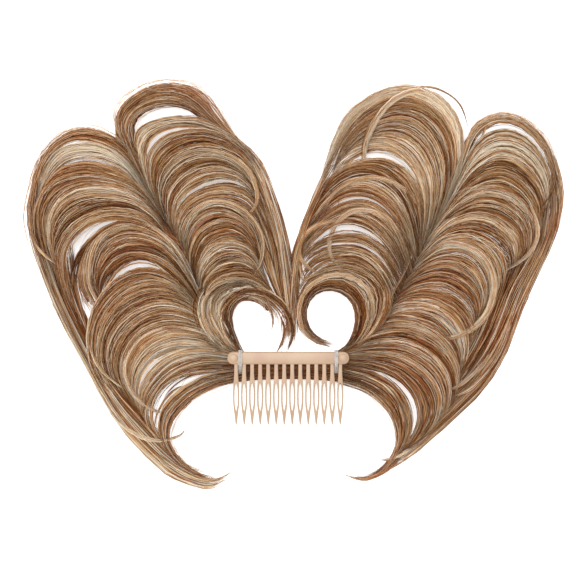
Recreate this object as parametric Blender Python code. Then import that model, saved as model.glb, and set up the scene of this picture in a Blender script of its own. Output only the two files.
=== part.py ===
"""Messy bun hairpiece, laid flat: a toothed comb bound to a weft, with two wings of curled locks.

Metres, +X to the right, +Y up the wings, +Z away from the surface that the piece lies on. The whole model is
shifted at the end, so that the origin is the centre of its footprint.
"""
import math

import bmesh
import bpy
from mathutils import Matrix, Vector

# Comb: a bar with split teeth
BAR_LENGTH = 0.060
BAR_HEIGHT = 0.0062
BAR_THICKNESS = 0.0030
BAR_END_DROP = 0.0006
BAR_EDGE = 0.0004
BAR_CORNER = 0.0026
TOOTH_COUNT = 14
TOOTH_PITCH = 0.00394
TOOTH_LENGTH = 0.0298
TOOTH_THICKNESS = 0.0020
STEM_WIDTH = 0.0019
LOOP_WIDTH = 0.0031
PRONG_WIDTH = 0.00078
TIP_WIDTH = 0.0008
TOOTH_BEND = 0.0022
TOOTH_THINNING = 0.45

# Clear elastic ties round the bar and the weft
TIE_INSET = 0.0064
TIE_WIDTH = 0.0017
TIE_THICKNESS = 0.0006
TIE_HEIGHT = 0.0121
TIE_CORNER = 0.0012

# Weft base behind the comb
WEFT_LENGTH = 0.0546
WEFT_HEIGHT = 0.0150
WEFT_THICKNESS = 0.0054
WEFT_EDGE = 0.0016
TIE_SLOT = 0.0004

GAP = 0.0003
SLOT_REACH = 0.002
TAU = 2 * math.pi

# Wings: a spine and the locks that arch away from it
WING_RISE = 0.112
PARTING = 0.0019
SPINE_WIDTH = 0.013
SPINE_THICKNESS = 0.0052
LOCK_LENGTH = 0.097
LOCK_WIDTH = 0.0160
LOCK_THICKNESS = 0.0060
CREST_HEIGHT = 0.0210
# A lock's middle rises by this share of its crest height, sinks from its root by this power of what is left of its
# length, and lies on the surface past this share of it
CREST_RISE = 0.62
ROOT_SINK = 1.5
LANDING = 0.95
LOCK_STATIONS = 11
SPINE_STATIONS = 12
LOCK_SIDES = 6
SPINE_SIDES = 8

# Each wing's spine, from the comb to its tip. "out" and "up" are shares of WING_RISE, "high" of CREST_HEIGHT
# and "full" of the spine's width.
LEFT_SPINE = [
    {"out": -0.262, "up": -0.085, "high": 0.20, "full": 0.55},
    {"out": -0.275, "up": 0.020, "high": 0.22, "full": 0.80},
    {"out": -0.385, "up": 0.120, "high": 0.34, "full": 1.00},
    {"out": -0.420, "up": 0.250, "high": 0.46, "full": 1.00},
    {"out": -0.430, "up": 0.410, "high": 0.52, "full": 1.00},
    {"out": -0.500, "up": 0.600, "high": 0.54, "full": 0.90},
    {"out": -0.630, "up": 0.800, "high": 0.50, "full": 0.75},
    {"out": -0.735, "up": 0.985, "high": 0.40, "full": 0.40},
]
RIGHT_SPINE = [
    {"out": 0.262, "up": -0.090, "high": 0.20, "full": 0.55},
    {"out": 0.275, "up": 0.020, "high": 0.22, "full": 0.80},
    {"out": 0.420, "up": 0.160, "high": 0.34, "full": 1.00},
    {"out": 0.520, "up": 0.330, "high": 0.46, "full": 1.00},
    {"out": 0.600, "up": 0.510, "high": 0.52, "full": 1.00},
    {"out": 0.690, "up": 0.700, "high": 0.54, "full": 0.90},
    {"out": 0.765, "up": 0.880, "high": 0.50, "full": 0.75},
    {"out": 0.790, "up": 0.985, "high": 0.40, "full": 0.40},
]

# One row a lock, from the wing's tip down to the comb. "at" is the share of the spine where it starts, "leave" the
# heading there and "turn" how far it curls, both in degrees and anticlockwise. "tight" above 1 curls it early.
# "long", "wide" and "crest" are shares of the lock's length, width and crest height.
LEFT_OUTER = [
    {"at": 0.90, "leave": 118, "turn": 180, "tight": 2.1, "long": 1.32, "wide": 0.95, "crest": 0.55},
    {"at": 0.83, "leave": 124, "turn": 182, "tight": 1.8, "long": 1.30, "wide": 1.00, "crest": 0.75},
    {"at": 0.76, "leave": 130, "turn": 180, "tight": 1.6, "long": 1.24, "wide": 1.00, "crest": 0.85},
    {"at": 0.67, "leave": 132, "turn": 180, "tight": 1.4, "long": 1.20, "wide": 1.00, "crest": 0.90},
    {"at": 0.55, "leave": 122, "turn": 204, "tight": 1.2, "long": 1.00, "wide": 1.10, "crest": 1.00},
    {"at": 0.49, "leave": 142, "turn": 160, "tight": 1.4, "long": 1.20, "wide": 1.05, "crest": 0.90},
    {"at": 0.41, "leave": 144, "turn": 158, "tight": 1.4, "long": 1.14, "wide": 1.10, "crest": 0.95},
    {"at": 0.33, "leave": 150, "turn": 160, "tight": 1.2, "long": 1.04, "wide": 1.10, "crest": 0.95},
    {"at": 0.25, "leave": 152, "turn": 204, "tight": 1.0, "long": 0.88, "wide": 1.05, "crest": 1.00},
    {"at": 0.18, "leave": 156, "turn": 165, "tight": 1.0, "long": 0.96, "wide": 1.00, "crest": 0.80},
    {"at": 0.09, "leave": 160, "turn": 152, "tight": 1.0, "long": 0.90, "wide": 0.95, "crest": 0.60},
    {"at": 0.00, "leave": 172, "turn": 194, "tight": 1.0, "long": 0.88, "wide": 0.80, "crest": 0.30},
]
LEFT_INNER = [
    {"at": 0.98, "leave": 92, "turn": -160, "tight": 2.6, "long": 1.22, "wide": 0.85, "crest": 0.50},
    {"at": 0.90, "leave": 60, "turn": -140, "tight": 1.5, "long": 0.94, "wide": 1.00, "crest": 0.70},
    {"at": 0.80, "leave": 58, "turn": -136, "tight": 1.1, "long": 0.86, "wide": 1.05, "crest": 0.85},
    {"at": 0.71, "leave": 54, "turn": -160, "tight": 0.9, "long": 0.80, "wide": 1.05, "crest": 0.95},
    {"at": 0.60, "leave": 62, "turn": -168, "tight": 1.0, "long": 0.82, "wide": 1.05, "crest": 0.95},
    {"at": 0.49, "leave": 74, "turn": -204, "tight": 1.0, "long": 0.88, "wide": 1.05, "crest": 1.00},
    {"at": 0.37, "leave": 86, "turn": -184, "tight": 1.1, "long": 0.79, "wide": 1.00, "crest": 0.90},
    {"at": 0.26, "leave": 98, "turn": -180, "tight": 1.2, "long": 0.72, "wide": 0.85, "crest": 0.75},
    {"at": 0.12, "leave": 116, "turn": -226, "tight": 0.9, "long": 0.74, "wide": 0.60, "crest": 0.40},
]
RIGHT_INNER = [
    {"at": 0.98, "leave": 112, "turn": 146, "tight": 2.2, "long": 1.22, "wide": 0.85, "crest": 0.50},
    {"at": 0.90, "leave": 118, "turn": 136, "tight": 1.9, "long": 1.06, "wide": 1.00, "crest": 0.70},
    {"at": 0.80, "leave": 124, "turn": 126, "tight": 1.5, "long": 0.94, "wide": 1.05, "crest": 0.85},
    {"at": 0.71, "leave": 122, "turn": 132, "tight": 1.3, "long": 0.88, "wide": 1.05, "crest": 0.90},
    {"at": 0.63, "leave": 120, "turn": 150, "tight": 1.0, "long": 0.80, "wide": 1.05, "crest": 0.95},
    {"at": 0.54, "leave": 112, "turn": 168, "tight": 0.9, "long": 0.78, "wide": 1.00, "crest": 1.00},
    {"at": 0.46, "leave": 98, "turn": 228, "tight": 1.0, "long": 0.88, "wide": 0.95, "crest": 1.00},
    {"at": 0.35, "leave": 102, "turn": 190, "tight": 1.0, "long": 0.78, "wide": 0.95, "crest": 0.85},
    {"at": 0.12, "leave": 50, "turn": 238, "tight": 0.9, "long": 0.72, "wide": 0.60, "crest": 0.50},
]
RIGHT_OUTER = [
    {"at": 0.98, "leave": 42, "turn": -174, "tight": 1.3, "long": 0.88, "wide": 0.85, "crest": 0.50},
    {"at": 0.90, "leave": 40, "turn": -156, "tight": 1.7, "long": 1.06, "wide": 1.00, "crest": 0.75},
    {"at": 0.81, "leave": 36, "turn": -154, "tight": 1.7, "long": 1.08, "wide": 1.00, "crest": 0.85},
    {"at": 0.72, "leave": 32, "turn": -152, "tight": 1.7, "long": 1.08, "wide": 1.05, "crest": 0.90},
    {"at": 0.63, "leave": 36, "turn": -190, "tight": 1.0, "long": 0.94, "wide": 1.00, "crest": 1.00},
    {"at": 0.55, "leave": 28, "turn": -158, "tight": 1.7, "long": 1.18, "wide": 1.05, "crest": 0.90},
    {"at": 0.48, "leave": 28, "turn": -212, "tight": 1.0, "long": 0.96, "wide": 1.05, "crest": 1.00},
    {"at": 0.39, "leave": 24, "turn": -165, "tight": 1.9, "long": 1.34, "wide": 1.10, "crest": 0.90},
    {"at": 0.30, "leave": 20, "turn": -166, "tight": 1.7, "long": 1.24, "wide": 1.05, "crest": 0.90},
    {"at": 0.21, "leave": 14, "turn": -172, "tight": 1.5, "long": 1.14, "wide": 1.00, "crest": 0.75},
    {"at": 0.12, "leave": 6, "turn": -180, "tight": 1.2, "long": 1.10, "wide": 0.90, "crest": 0.50},
    {"at": 0.00, "leave": -6, "turn": -198, "tight": 0.8, "long": 0.84, "wide": 0.75, "crest": 0.30},
]

# How a lock swells and thins along its length: "along" is the share of its length, "full" of its width.
LOCK_TAPER = [
    {"along": 0.0, "full": 0.50},
    {"along": 0.2, "full": 0.90},
    {"along": 0.5, "full": 1.00},
    {"along": 0.8, "full": 0.62},
    {"along": 1.0, "full": 0.12},
]

# Places along the bar, and heights above the surface that the piece lies on
TIE_SPACING = BAR_LENGTH - 2 * TIE_INSET
WEFT_FLOOR = TIE_THICKNESS + GAP
COMB_FLOOR = WEFT_FLOOR + WEFT_THICKNESS + GAP
BAR_TOP = COMB_FLOOR + BAR_THICKNESS
TIE_TOP = BAR_TOP + GAP + TIE_THICKNESS
TIE_REACH = BAR_HEIGHT / 2 + GAP + TIE_THICKNESS
LAND_LENGTH = TIE_SPACING - TIE_WIDTH - 2 * GAP


def clear_scene():
    """Remove whatever the file opened with."""
    for thing in list(bpy.data.objects):
        bpy.data.objects.remove(thing)


def new_collection(name):
    """Make a collection under the scene's own."""
    collection = bpy.data.collections.new(name)
    bpy.context.scene.collection.children.link(collection)
    return collection


def new_material(name, colour, roughness):
    """Make a plain Principled material."""
    material = bpy.data.materials.new(name)
    material.use_nodes = True
    shader = material.node_tree.nodes["Principled BSDF"]
    shader.inputs["Base Color"].default_value = (*colour, 1.0)
    shader.inputs["Roughness"].default_value = roughness
    shader.inputs["Metallic"].default_value = 0.0
    return material


def add_mesh(name, bm, collection, material=None):
    """Turn a bmesh into an object of this collection."""
    mesh = bpy.data.meshes.new(name)
    bmesh.ops.recalc_face_normals(bm, faces=bm.faces)
    bm.to_mesh(mesh)
    bm.free()
    if material:
        mesh.materials.append(material)
    thing = bpy.data.objects.new(name, mesh)
    collection.objects.link(thing)
    return thing


def as_guide(thing):
    """Keep a cutter or an operand out of the model."""
    thing.hide_render = True
    thing.display_type = "WIRE"
    return thing


def curve_to_mesh(thing, collection):
    """Replace a curve object by its welded mesh."""
    graph = bpy.context.evaluated_depsgraph_get()
    mesh = bpy.data.meshes.new_from_object(thing.evaluated_get(graph))
    bm = bmesh.new()
    bm.from_mesh(mesh)
    bmesh.ops.remove_doubles(bm, verts=bm.verts, dist=1e-7)
    bm.transform(thing.matrix_world)
    name = thing.name
    bpy.data.meshes.remove(mesh)
    bpy.data.objects.remove(thing)
    return add_mesh(name, bm, collection)


def flat_outline(name, outlines, thickness, collection):
    """Fill closed outlines in the XY plane, the later ones as holes, and give them a thickness."""
    curve = bpy.data.curves.new(name, "CURVE")
    curve.dimensions = "2D"
    curve.fill_mode = "BOTH"
    curve.extrude = thickness / 2
    for outline in outlines:
        spline = curve.splines.new("POLY")
        spline.points.add(len(outline) - 1)
        spline.use_cyclic_u = True
        for point, (x, y) in zip(spline.points, outline):
            point.co = (x, y, 0.0, 1.0)
    thing = bpy.data.objects.new(name, curve)
    collection.objects.link(thing)
    bpy.context.view_layer.update()
    return curve_to_mesh(thing, collection)


def box(name, size, centre, collection):
    """Make a box of this size round this centre."""
    bm = bmesh.new()
    place = Matrix.Translation(centre) @ Matrix.Diagonal((*size, 1.0))
    bmesh.ops.create_cube(bm, size=1.0, matrix=place)
    return add_mesh(name, bm, collection)


def boolean(target, operation, other, solver="EXACT"):
    """Join or cut the target with another object or a collection. A wing's many crossing locks leave open
    slivers with the exact solver, so they take the manifold one.
    """
    modifier = target.modifiers.new(operation.title(), "BOOLEAN")
    modifier.operation = operation
    modifier.solver = solver
    if isinstance(other, bpy.types.Collection):
        modifier.operand_type = "COLLECTION"
        modifier.collection = other
    else:
        modifier.object = other


def shell_from(start):
    """Every vertex that is joined to this one by edges."""
    shell, edge_of_shell = {start}, [start]
    while edge_of_shell:
        vertex = edge_of_shell.pop()
        for edge in vertex.link_edges:
            other = edge.other_vert(vertex)
            if other not in shell:
                shell.add(other)
                edge_of_shell.append(other)
    return shell


def keep_outer_skin(thing):
    """Bake the joins and cuts, and drop the small hollows that crossing locks close in."""
    bpy.context.view_layer.update()
    graph = bpy.context.evaluated_depsgraph_get()
    mesh = bpy.data.meshes.new_from_object(thing.evaluated_get(graph))
    bm = bmesh.new()
    bm.from_mesh(mesh)
    left, skin = set(bm.verts), set()
    while left:
        shell = shell_from(next(iter(left)))
        left -= shell
        skin = max(skin, shell, key=len)
    bmesh.ops.delete(bm, geom=[vertex for vertex in bm.verts if vertex not in skin], context="VERTS")
    bmesh.ops.triangulate(bm, faces=bm.faces)
    bm.to_mesh(thing.data)
    bm.free()
    bpy.data.meshes.remove(mesh)
    thing.modifiers.clear()


def tooth_centres():
    """The teeth's places along the bar."""
    first = -(TOOTH_COUNT - 1) / 2
    return [(first + number) * TOOTH_PITCH for number in range(TOOTH_COUNT)]


# A tooth's half-width from its root to its tip: "along" is the share of its length, "wide" the size it follows
TOOTH_PROFILE = [
    {"along": -0.06, "wide": STEM_WIDTH},
    {"along": 0.16, "wide": STEM_WIDTH},
    {"along": 0.34, "wide": LOOP_WIDTH * 0.88},
    {"along": 0.48, "wide": LOOP_WIDTH},
    {"along": 0.68, "wide": LOOP_WIDTH * 0.94},
    {"along": 0.82, "wide": LOOP_WIDTH * 0.62},
    {"along": 0.94, "wide": TIP_WIDTH * 1.5},
    {"along": 1.00, "wide": TIP_WIDTH * 0.6},
]
# The slot that splits a tooth, by the share of the space between its prongs
SLOT_PROFILE = [
    {"along": 0.32, "wide": 0.30},
    {"along": 0.37, "wide": 0.95},
    {"along": 0.50, "wide": 1.00},
    {"along": 0.66, "wide": 0.90},
    {"along": 0.76, "wide": 0.25},
]


def mirrored_outline(centre, rows):
    """Close an outline round a centre line from (y, half width) rows."""
    down = [(centre + half, y) for y, half in rows]
    back = [(centre - half, y) for y, half in reversed(rows)]
    return down + back


def tooth_outlines(centre):
    """A tooth's outline and the slot in it."""
    root = -BAR_HEIGHT / 2
    outer = [(root - row["along"] * TOOTH_LENGTH, row["wide"] / 2) for row in TOOTH_PROFILE]
    space = LOOP_WIDTH / 2 - PRONG_WIDTH
    slot = [(root - row["along"] * TOOTH_LENGTH, row["wide"] * space) for row in SLOT_PROFILE]
    return [mirrored_outline(centre, outer), mirrored_outline(centre, slot)]


def bend_tooth(tooth):
    """Sweep a tooth down towards the surface, as a side comb's teeth do."""
    for vertex in tooth.data.vertices:
        reach = max(0.0, -vertex.co.y - BAR_HEIGHT / 2) / TOOTH_LENGTH
        thin = 1.0 - TOOTH_THINNING * reach
        vertex.co.z = vertex.co.z * thin - TOOTH_BEND * reach**2


def make_comb(model, guides, material):
    """The bar, with its flat land between the ties, and the teeth joined to it."""
    half, land = BAR_LENGTH / 2, LAND_LENGTH / 2
    bm = bmesh.new()
    bmesh.ops.create_cube(bm, size=1.0, matrix=Matrix.Diagonal((BAR_LENGTH, BAR_HEIGHT, BAR_THICKNESS, 1.0)))
    corners = [edge for edge in bm.edges if edge.verts[0].co.xy == edge.verts[1].co.xy]
    bmesh.ops.bevel(bm, geom=corners, offset=BAR_CORNER, segments=4, profile=0.5, affect="EDGES", material=-1)
    for x in (-land, land):
        whole = list(bm.verts) + list(bm.edges) + list(bm.faces)
        bmesh.ops.bisect_plane(bm, geom=whole, plane_co=(x, 0, 0), plane_no=(1, 0, 0))
    for vertex in bm.verts:
        if vertex.co.z > 0:
            vertex.co.z -= BAR_END_DROP * max(0.0, abs(vertex.co.x) - land) / (half - land)
    rims = [edge for edge in bm.edges if edge.calc_face_angle() > math.radians(70)]
    bmesh.ops.bevel(bm, geom=rims, offset=BAR_EDGE, segments=2, profile=0.5, affect="EDGES", material=-1)
    bar = add_mesh("comb", bm, model, material)
    teeth = bpy.data.collections.new("comb teeth")
    guides.children.link(teeth)
    for number, centre in enumerate(tooth_centres()):
        tooth = flat_outline(f"tooth {number}", tooth_outlines(centre), TOOTH_THICKNESS, teeth)
        bend_tooth(tooth)
        as_guide(tooth)
    boolean(bar, "UNION", teeth)
    bar.location.z = COMB_FLOOR + BAR_THICKNESS / 2
    for tooth in teeth.objects:
        tooth.location.z = bar.location.z
    return bar


def rounded_rectangle(width, height, corner, steps=3):
    """The outline of a rectangle with round corners, centred on the origin."""
    outline = []
    for quarter in range(4):
        turn = quarter * TAU / 4
        sign_x = 1 if quarter in (0, 3) else -1
        sign_y = 1 if quarter < 2 else -1
        centre = (sign_x * (width / 2 - corner), sign_y * (height / 2 - corner))
        for step in range(steps + 1):
            angle = turn + step * TAU / 4 / steps
            outline.append((centre[0] + corner * math.cos(angle), centre[1] + corner * math.sin(angle)))
    return outline


def tie_centre():
    """The middle of a tie's loop, across the bar and in height."""
    return TIE_REACH - TIE_HEIGHT / 2, TIE_TOP / 2


def make_tie(name, x, model, material):
    """A flat elastic loop standing across the bar, closed round the bar and the weft."""
    outer = rounded_rectangle(TIE_HEIGHT, TIE_TOP, TIE_CORNER)
    inner = rounded_rectangle(
        TIE_HEIGHT - 2 * TIE_THICKNESS, TIE_TOP - 2 * TIE_THICKNESS, TIE_CORNER - TIE_THICKNESS
    )
    tie = flat_outline(name, [outer, inner], TIE_WIDTH, model)
    stand = Matrix.Rotation(math.pi / 2, 4, "Z") @ Matrix.Rotation(math.pi / 2, 4, "X")
    tie.data.transform(stand)
    tie.data.materials.append(material)
    y, z = tie_centre()
    tie.location = (x, y, z)
    return tie


def make_weft(model, guides, material):
    """The gathered base: a long cushion under the bar, with a slot where each tie passes down through it."""
    top = BAR_HEIGHT / 2 - GAP
    bm = bmesh.new()
    centre = Vector((0.0, top - WEFT_HEIGHT / 2, WEFT_FLOOR + WEFT_THICKNESS / 2))
    size = (WEFT_LENGTH, WEFT_HEIGHT, WEFT_THICKNESS)
    bmesh.ops.create_cube(bm, size=1.0, matrix=Matrix.Translation(centre) @ Matrix.Diagonal((*size, 1.0)))
    bmesh.ops.bevel(bm, geom=list(bm.edges), offset=WEFT_EDGE, segments=3, profile=0.5, affect="EDGES", material=-1)
    weft = add_mesh("weft_base", bm, model, material)
    leg = TIE_REACH - TIE_HEIGHT + TIE_THICKNESS / 2
    slot_size = (TIE_WIDTH + 2 * TIE_SLOT, TIE_THICKNESS + 2 * TIE_SLOT, WEFT_THICKNESS + SLOT_REACH)
    for x in (-TIE_SPACING / 2, TIE_SPACING / 2):
        slot = box("tie slot", slot_size, (x, leg, centre.z), guides)
        boolean(weft, "DIFFERENCE", as_guide(slot))
    return weft


def read_table(rows, key, column, share):
    """Read a column of a table smoothly at a share of its key."""
    if share <= rows[0][key]:
        return rows[0][column]
    for low, high in zip(rows, rows[1:]):
        if share <= high[key]:
            part = (share - low[key]) / (high[key] - low[key])
            part = part * part * (3 - 2 * part)
            return low[column] + (high[column] - low[column]) * part
    return rows[-1][column]


def spine_course(rows, stations=48):
    """The spine as evenly spaced (place, fullness) pairs on a smooth curve through its rows."""
    points = [Vector((row["out"] * WING_RISE, row["up"] * WING_RISE, row["high"] * CREST_HEIGHT)) for row in rows]
    fulls = [row["full"] for row in rows]
    fine, fine_fulls = [], []
    steps = 12
    for index in range(len(points) - 1):
        before = points[max(index - 1, 0)]
        start, finish = points[index], points[index + 1]
        after = points[min(index + 2, len(points) - 1)]
        for step in range(steps):
            t = step / steps
            fine.append(0.5 * (2 * start + (finish - before) * t
                               + (2 * before - 5 * start + 4 * finish - after) * t**2
                               + (3 * start - before - 3 * finish + after) * t**3))
            fine_fulls.append(fulls[index] + (fulls[index + 1] - fulls[index]) * t)
    fine.append(points[-1])
    fine_fulls.append(fulls[-1])
    reach = [0.0]
    for start, finish in zip(fine, fine[1:]):
        reach.append(reach[-1] + (finish - start).length)
    course, index = [], 0
    for station in range(stations + 1):
        target = reach[-1] * station / stations
        while index < len(reach) - 2 and reach[index + 1] < target:
            index += 1
        t = (target - reach[index]) / (reach[index + 1] - reach[index])
        full = fine_fulls[index] + (fine_fulls[index + 1] - fine_fulls[index]) * t
        course.append((fine[index].lerp(fine[index + 1], t), full))
    return course


def lock_course(row, course, stations=LOCK_STATIONS):
    """A lock's centre line, from its root on the spine to its tip near the surface."""
    root, full = course[round(row["at"] * (len(course) - 1))]
    length = row["long"] * LOCK_LENGTH
    crest = row["crest"] * CREST_HEIGHT
    fine = 8
    steps = (stations - 1) * fine
    place = Vector((root.x, root.y))
    points = []
    for step in range(steps + 1):
        share = step / steps
        if step % fine == 0:
            lift = math.sin(math.pi * min(1.0, share * 1.05) ** 0.8) ** 1.2 if share < LANDING else 0.0
            low = root.z * (1 - share) ** ROOT_SINK
            lowest = LOCK_THICKNESS / 2 * read_table(LOCK_TAPER, "along", "full", share)
            points.append(Vector((place.x, place.y, max(low + crest * lift * CREST_RISE, lowest))))
        heading = math.radians(row["leave"] + row["turn"] * (1 - (1 - share) ** row["tight"]))
        place += Vector((math.cos(heading), math.sin(heading))) * length / steps
    return points


def flat_profile(name, width, thickness, sides, guides):
    """A flat oval curve that a strand of hair is swept with."""
    curve = bpy.data.curves.new(name, "CURVE")
    curve.dimensions = "2D"
    spline = curve.splines.new("POLY")
    spline.points.add(sides - 1)
    spline.use_cyclic_u = True
    for index, point in enumerate(spline.points):
        angle = TAU * index / sides
        point.co = (width / 2 * math.cos(angle), thickness / 2 * math.sin(angle), 0.0, 1.0)
    profile = bpy.data.objects.new(name, curve)
    guides.objects.link(profile)
    return as_guide(profile)


def sweep(name, points, fulls, profile, collection):
    """Sweep a flat oval along a course, as wide at each point as its fullness says."""
    curve = bpy.data.curves.new(name, "CURVE")
    curve.dimensions = "3D"
    curve.twist_mode = "Z_UP"
    curve.bevel_mode = "OBJECT"
    curve.bevel_object = profile
    curve.use_fill_caps = True
    spline = curve.splines.new("POLY")
    spline.points.add(len(points) - 1)
    for point, place, full in zip(spline.points, points, fulls):
        point.co = (*place, 1.0)
        point.radius = full
    thing = bpy.data.objects.new(name, curve)
    collection.objects.link(thing)
    bpy.context.view_layer.update()
    return curve_to_mesh(thing, collection)


def make_wing(name, spine_rows, lock_rows, profiles, model, guides, material):
    """One wing: its spine as a backing, with every lock joined to it, cut clear of the comb and the weft."""
    spine_profile, lock_profile = profiles
    course = spine_course(spine_rows)
    skip = (len(course) - 1) // SPINE_STATIONS
    backing = [course[index] for index in range(0, len(course), skip)]
    wing = sweep(name, [place for place, _ in backing], [full for _, full in backing], spine_profile, model)
    wing.data.materials.append(material)
    locks = bpy.data.collections.new(f"{name} parts")
    guides.children.link(locks)
    for number, row in enumerate(lock_rows):
        points = lock_course(row, course)
        last = len(points) - 1
        fulls = [row["wide"] * read_table(LOCK_TAPER, "along", "full", index / last) for index in range(last + 1)]
        as_guide(sweep(f"{name} {number}", points, fulls, lock_profile, locks))
    boolean(wing, "UNION", locks, "MANIFOLD")
    return wing


def clearance_cutters(guides):
    """The room that the comb and the weft keep free of hair."""
    reach = TOOTH_LENGTH + BAR_HEIGHT
    comb_size = (BAR_LENGTH + 2 * GAP, reach + 2 * GAP, BAR_THICKNESS * 4)
    comb_centre = (0.0, BAR_HEIGHT / 2 - reach / 2, COMB_FLOOR - GAP - TOOTH_BEND + comb_size[2] / 2)
    weft_size = (WEFT_LENGTH + 2 * GAP, WEFT_HEIGHT + 2 * GAP + 2 * TIE_THICKNESS, 4 * WEFT_THICKNESS)
    weft_centre = (0.0, BAR_HEIGHT / 2 - WEFT_HEIGHT / 2, 0.0)
    return [
        as_guide(box("comb room", comb_size, comb_centre, guides)),
        as_guide(box("weft room", weft_size, weft_centre, guides)),
    ]


def other_side(side, guides):
    """The room past the parting, where the curls of the two wings meet: side is 1 for the right wing."""
    reach = 4 * WING_RISE
    centre = (PARTING + side * (GAP / 2 - reach / 2), 0.0, 0.0)
    return as_guide(box("other wing's room", (reach, reach, reach), centre, guides))


def stand_on_footprint(model):
    """Shift everything so that the origin is the footprint's centre, with the lowest point at zero."""
    bpy.context.view_layer.update()
    graph = bpy.context.evaluated_depsgraph_get()
    corners = []
    for thing in model.objects:
        evaluated = thing.evaluated_get(graph)
        corners += [evaluated.matrix_world @ vertex.co for vertex in evaluated.to_mesh().vertices]
        evaluated.to_mesh_clear()
    low = [min(corner[axis] for corner in corners) for axis in range(3)]
    high = [max(corner[axis] for corner in corners) for axis in range(3)]
    shift = Vector((-(low[0] + high[0]) / 2, -(low[1] + high[1]) / 2, -low[2]))
    for thing in bpy.data.objects:
        thing.location += shift


def build():
    """Make every piece of the hairpiece."""
    clear_scene()
    model = new_collection("messy_bun_hairpiece")
    guides = new_collection("guides")
    comb_material = new_material("comb plastic", (0.84, 0.58, 0.39), 0.45)
    tie_material = new_material("clear elastic", (0.86, 0.84, 0.80), 0.25)
    weft_material = new_material("weft hair", (0.10, 0.05, 0.03), 0.60)
    hair_material = new_material("curled hair", (0.36, 0.19, 0.10), 0.50)
    make_comb(model, guides, comb_material)
    make_tie("tie_left", -TIE_SPACING / 2, model, tie_material)
    make_tie("tie_right", TIE_SPACING / 2, model, tie_material)
    make_weft(model, guides, weft_material)
    profiles = (
        flat_profile("spine oval", SPINE_WIDTH, SPINE_THICKNESS, SPINE_SIDES, guides),
        flat_profile("lock oval", LOCK_WIDTH, LOCK_THICKNESS, LOCK_SIDES, guides),
    )
    rooms = clearance_cutters(guides)
    wings = [
        ("left_wing_locks", -1, LEFT_SPINE, LEFT_OUTER + LEFT_INNER),
        ("right_wing_locks", 1, RIGHT_SPINE, RIGHT_OUTER + RIGHT_INNER),
    ]
    for name, side, spine_rows, lock_rows in wings:
        wing = make_wing(name, spine_rows, lock_rows, profiles, model, guides, hair_material)
        for room in [*rooms, other_side(side, guides)]:
            boolean(wing, "DIFFERENCE", room, "MANIFOLD")
        keep_outer_skin(wing)
    stand_on_footprint(model)


build()
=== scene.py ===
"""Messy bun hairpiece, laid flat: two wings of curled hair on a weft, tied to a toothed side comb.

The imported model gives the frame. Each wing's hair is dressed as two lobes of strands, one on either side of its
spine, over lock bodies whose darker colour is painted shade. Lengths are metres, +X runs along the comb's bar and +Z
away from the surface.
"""
import logging
import math
from dataclasses import dataclass, field, replace
from enum import Enum
from typing import Any

import bmesh
import bpy
import numpy as np
from mathutils import Matrix, Vector


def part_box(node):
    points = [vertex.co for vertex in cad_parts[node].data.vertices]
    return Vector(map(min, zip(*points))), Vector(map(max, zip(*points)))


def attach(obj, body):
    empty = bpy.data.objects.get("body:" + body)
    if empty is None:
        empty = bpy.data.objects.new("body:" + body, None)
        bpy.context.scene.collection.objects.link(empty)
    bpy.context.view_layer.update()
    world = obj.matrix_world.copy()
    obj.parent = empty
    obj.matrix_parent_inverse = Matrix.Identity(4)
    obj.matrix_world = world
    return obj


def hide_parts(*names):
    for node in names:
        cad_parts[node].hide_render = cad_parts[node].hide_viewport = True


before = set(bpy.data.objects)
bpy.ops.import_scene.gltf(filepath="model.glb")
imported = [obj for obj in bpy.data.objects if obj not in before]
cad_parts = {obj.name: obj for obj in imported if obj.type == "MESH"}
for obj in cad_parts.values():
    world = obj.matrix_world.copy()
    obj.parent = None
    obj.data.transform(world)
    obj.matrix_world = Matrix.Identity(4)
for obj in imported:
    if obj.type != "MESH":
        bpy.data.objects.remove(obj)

LOG = logging.getLogger("hairpiece")
MILLI = 0.001

# Driving sizes, the same as the model's
BAR_LENGTH = 0.060
BAR_HEIGHT = 0.0062
BAR_THICKNESS = 0.0030
WING_RISE = 0.112
CREST_HEIGHT = 0.0210
CREST_RISE = 0.62
ROOT_SINK = 1.5
LOCK_THICKNESS = 0.0060

# Where the comb's bar lies, read from the frame
COMB_LOW, COMB_HIGH = (Vector(corner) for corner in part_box("comb"))
BAR_CENTRE = Vector(((COMB_LOW.x + COMB_HIGH.x) / 2, COMB_HIGH.y - BAR_HEIGHT / 2, COMB_HIGH.z - BAR_THICKNESS / 2))


class Body(Enum):
    """The bodies of the frame that pieces ride on."""

    ROOT = "root"


class Slot(Enum):
    """The record's material slots."""

    COMB = "comb_plastic"
    TIE = "clear_elastic"
    WEFT = "weft_hair"
    HAIR = "curled_hair"


class Wing(Enum):
    """The two wings, by the CAD node that each stands for."""

    LEFT = "left_wing_locks"
    RIGHT = "right_wing_locks"


def linear(code: str) -> tuple[float, float, float, float]:
    """Turn an sRGB hex code into a linear colour.

    Args:
        code: six hex digits, such as "A0694A".

    Returns:
        The linear red, green and blue, with an alpha of 1.
    """
    parts = [int(code[index:index + 2], 16) / 255 for index in (0, 2, 4)]
    red, green, blue = [part / 12.92 if part <= 0.04045 else ((part + 0.055) / 1.055) ** 2.4 for part in parts]
    return red, green, blue, 1.0


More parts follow.
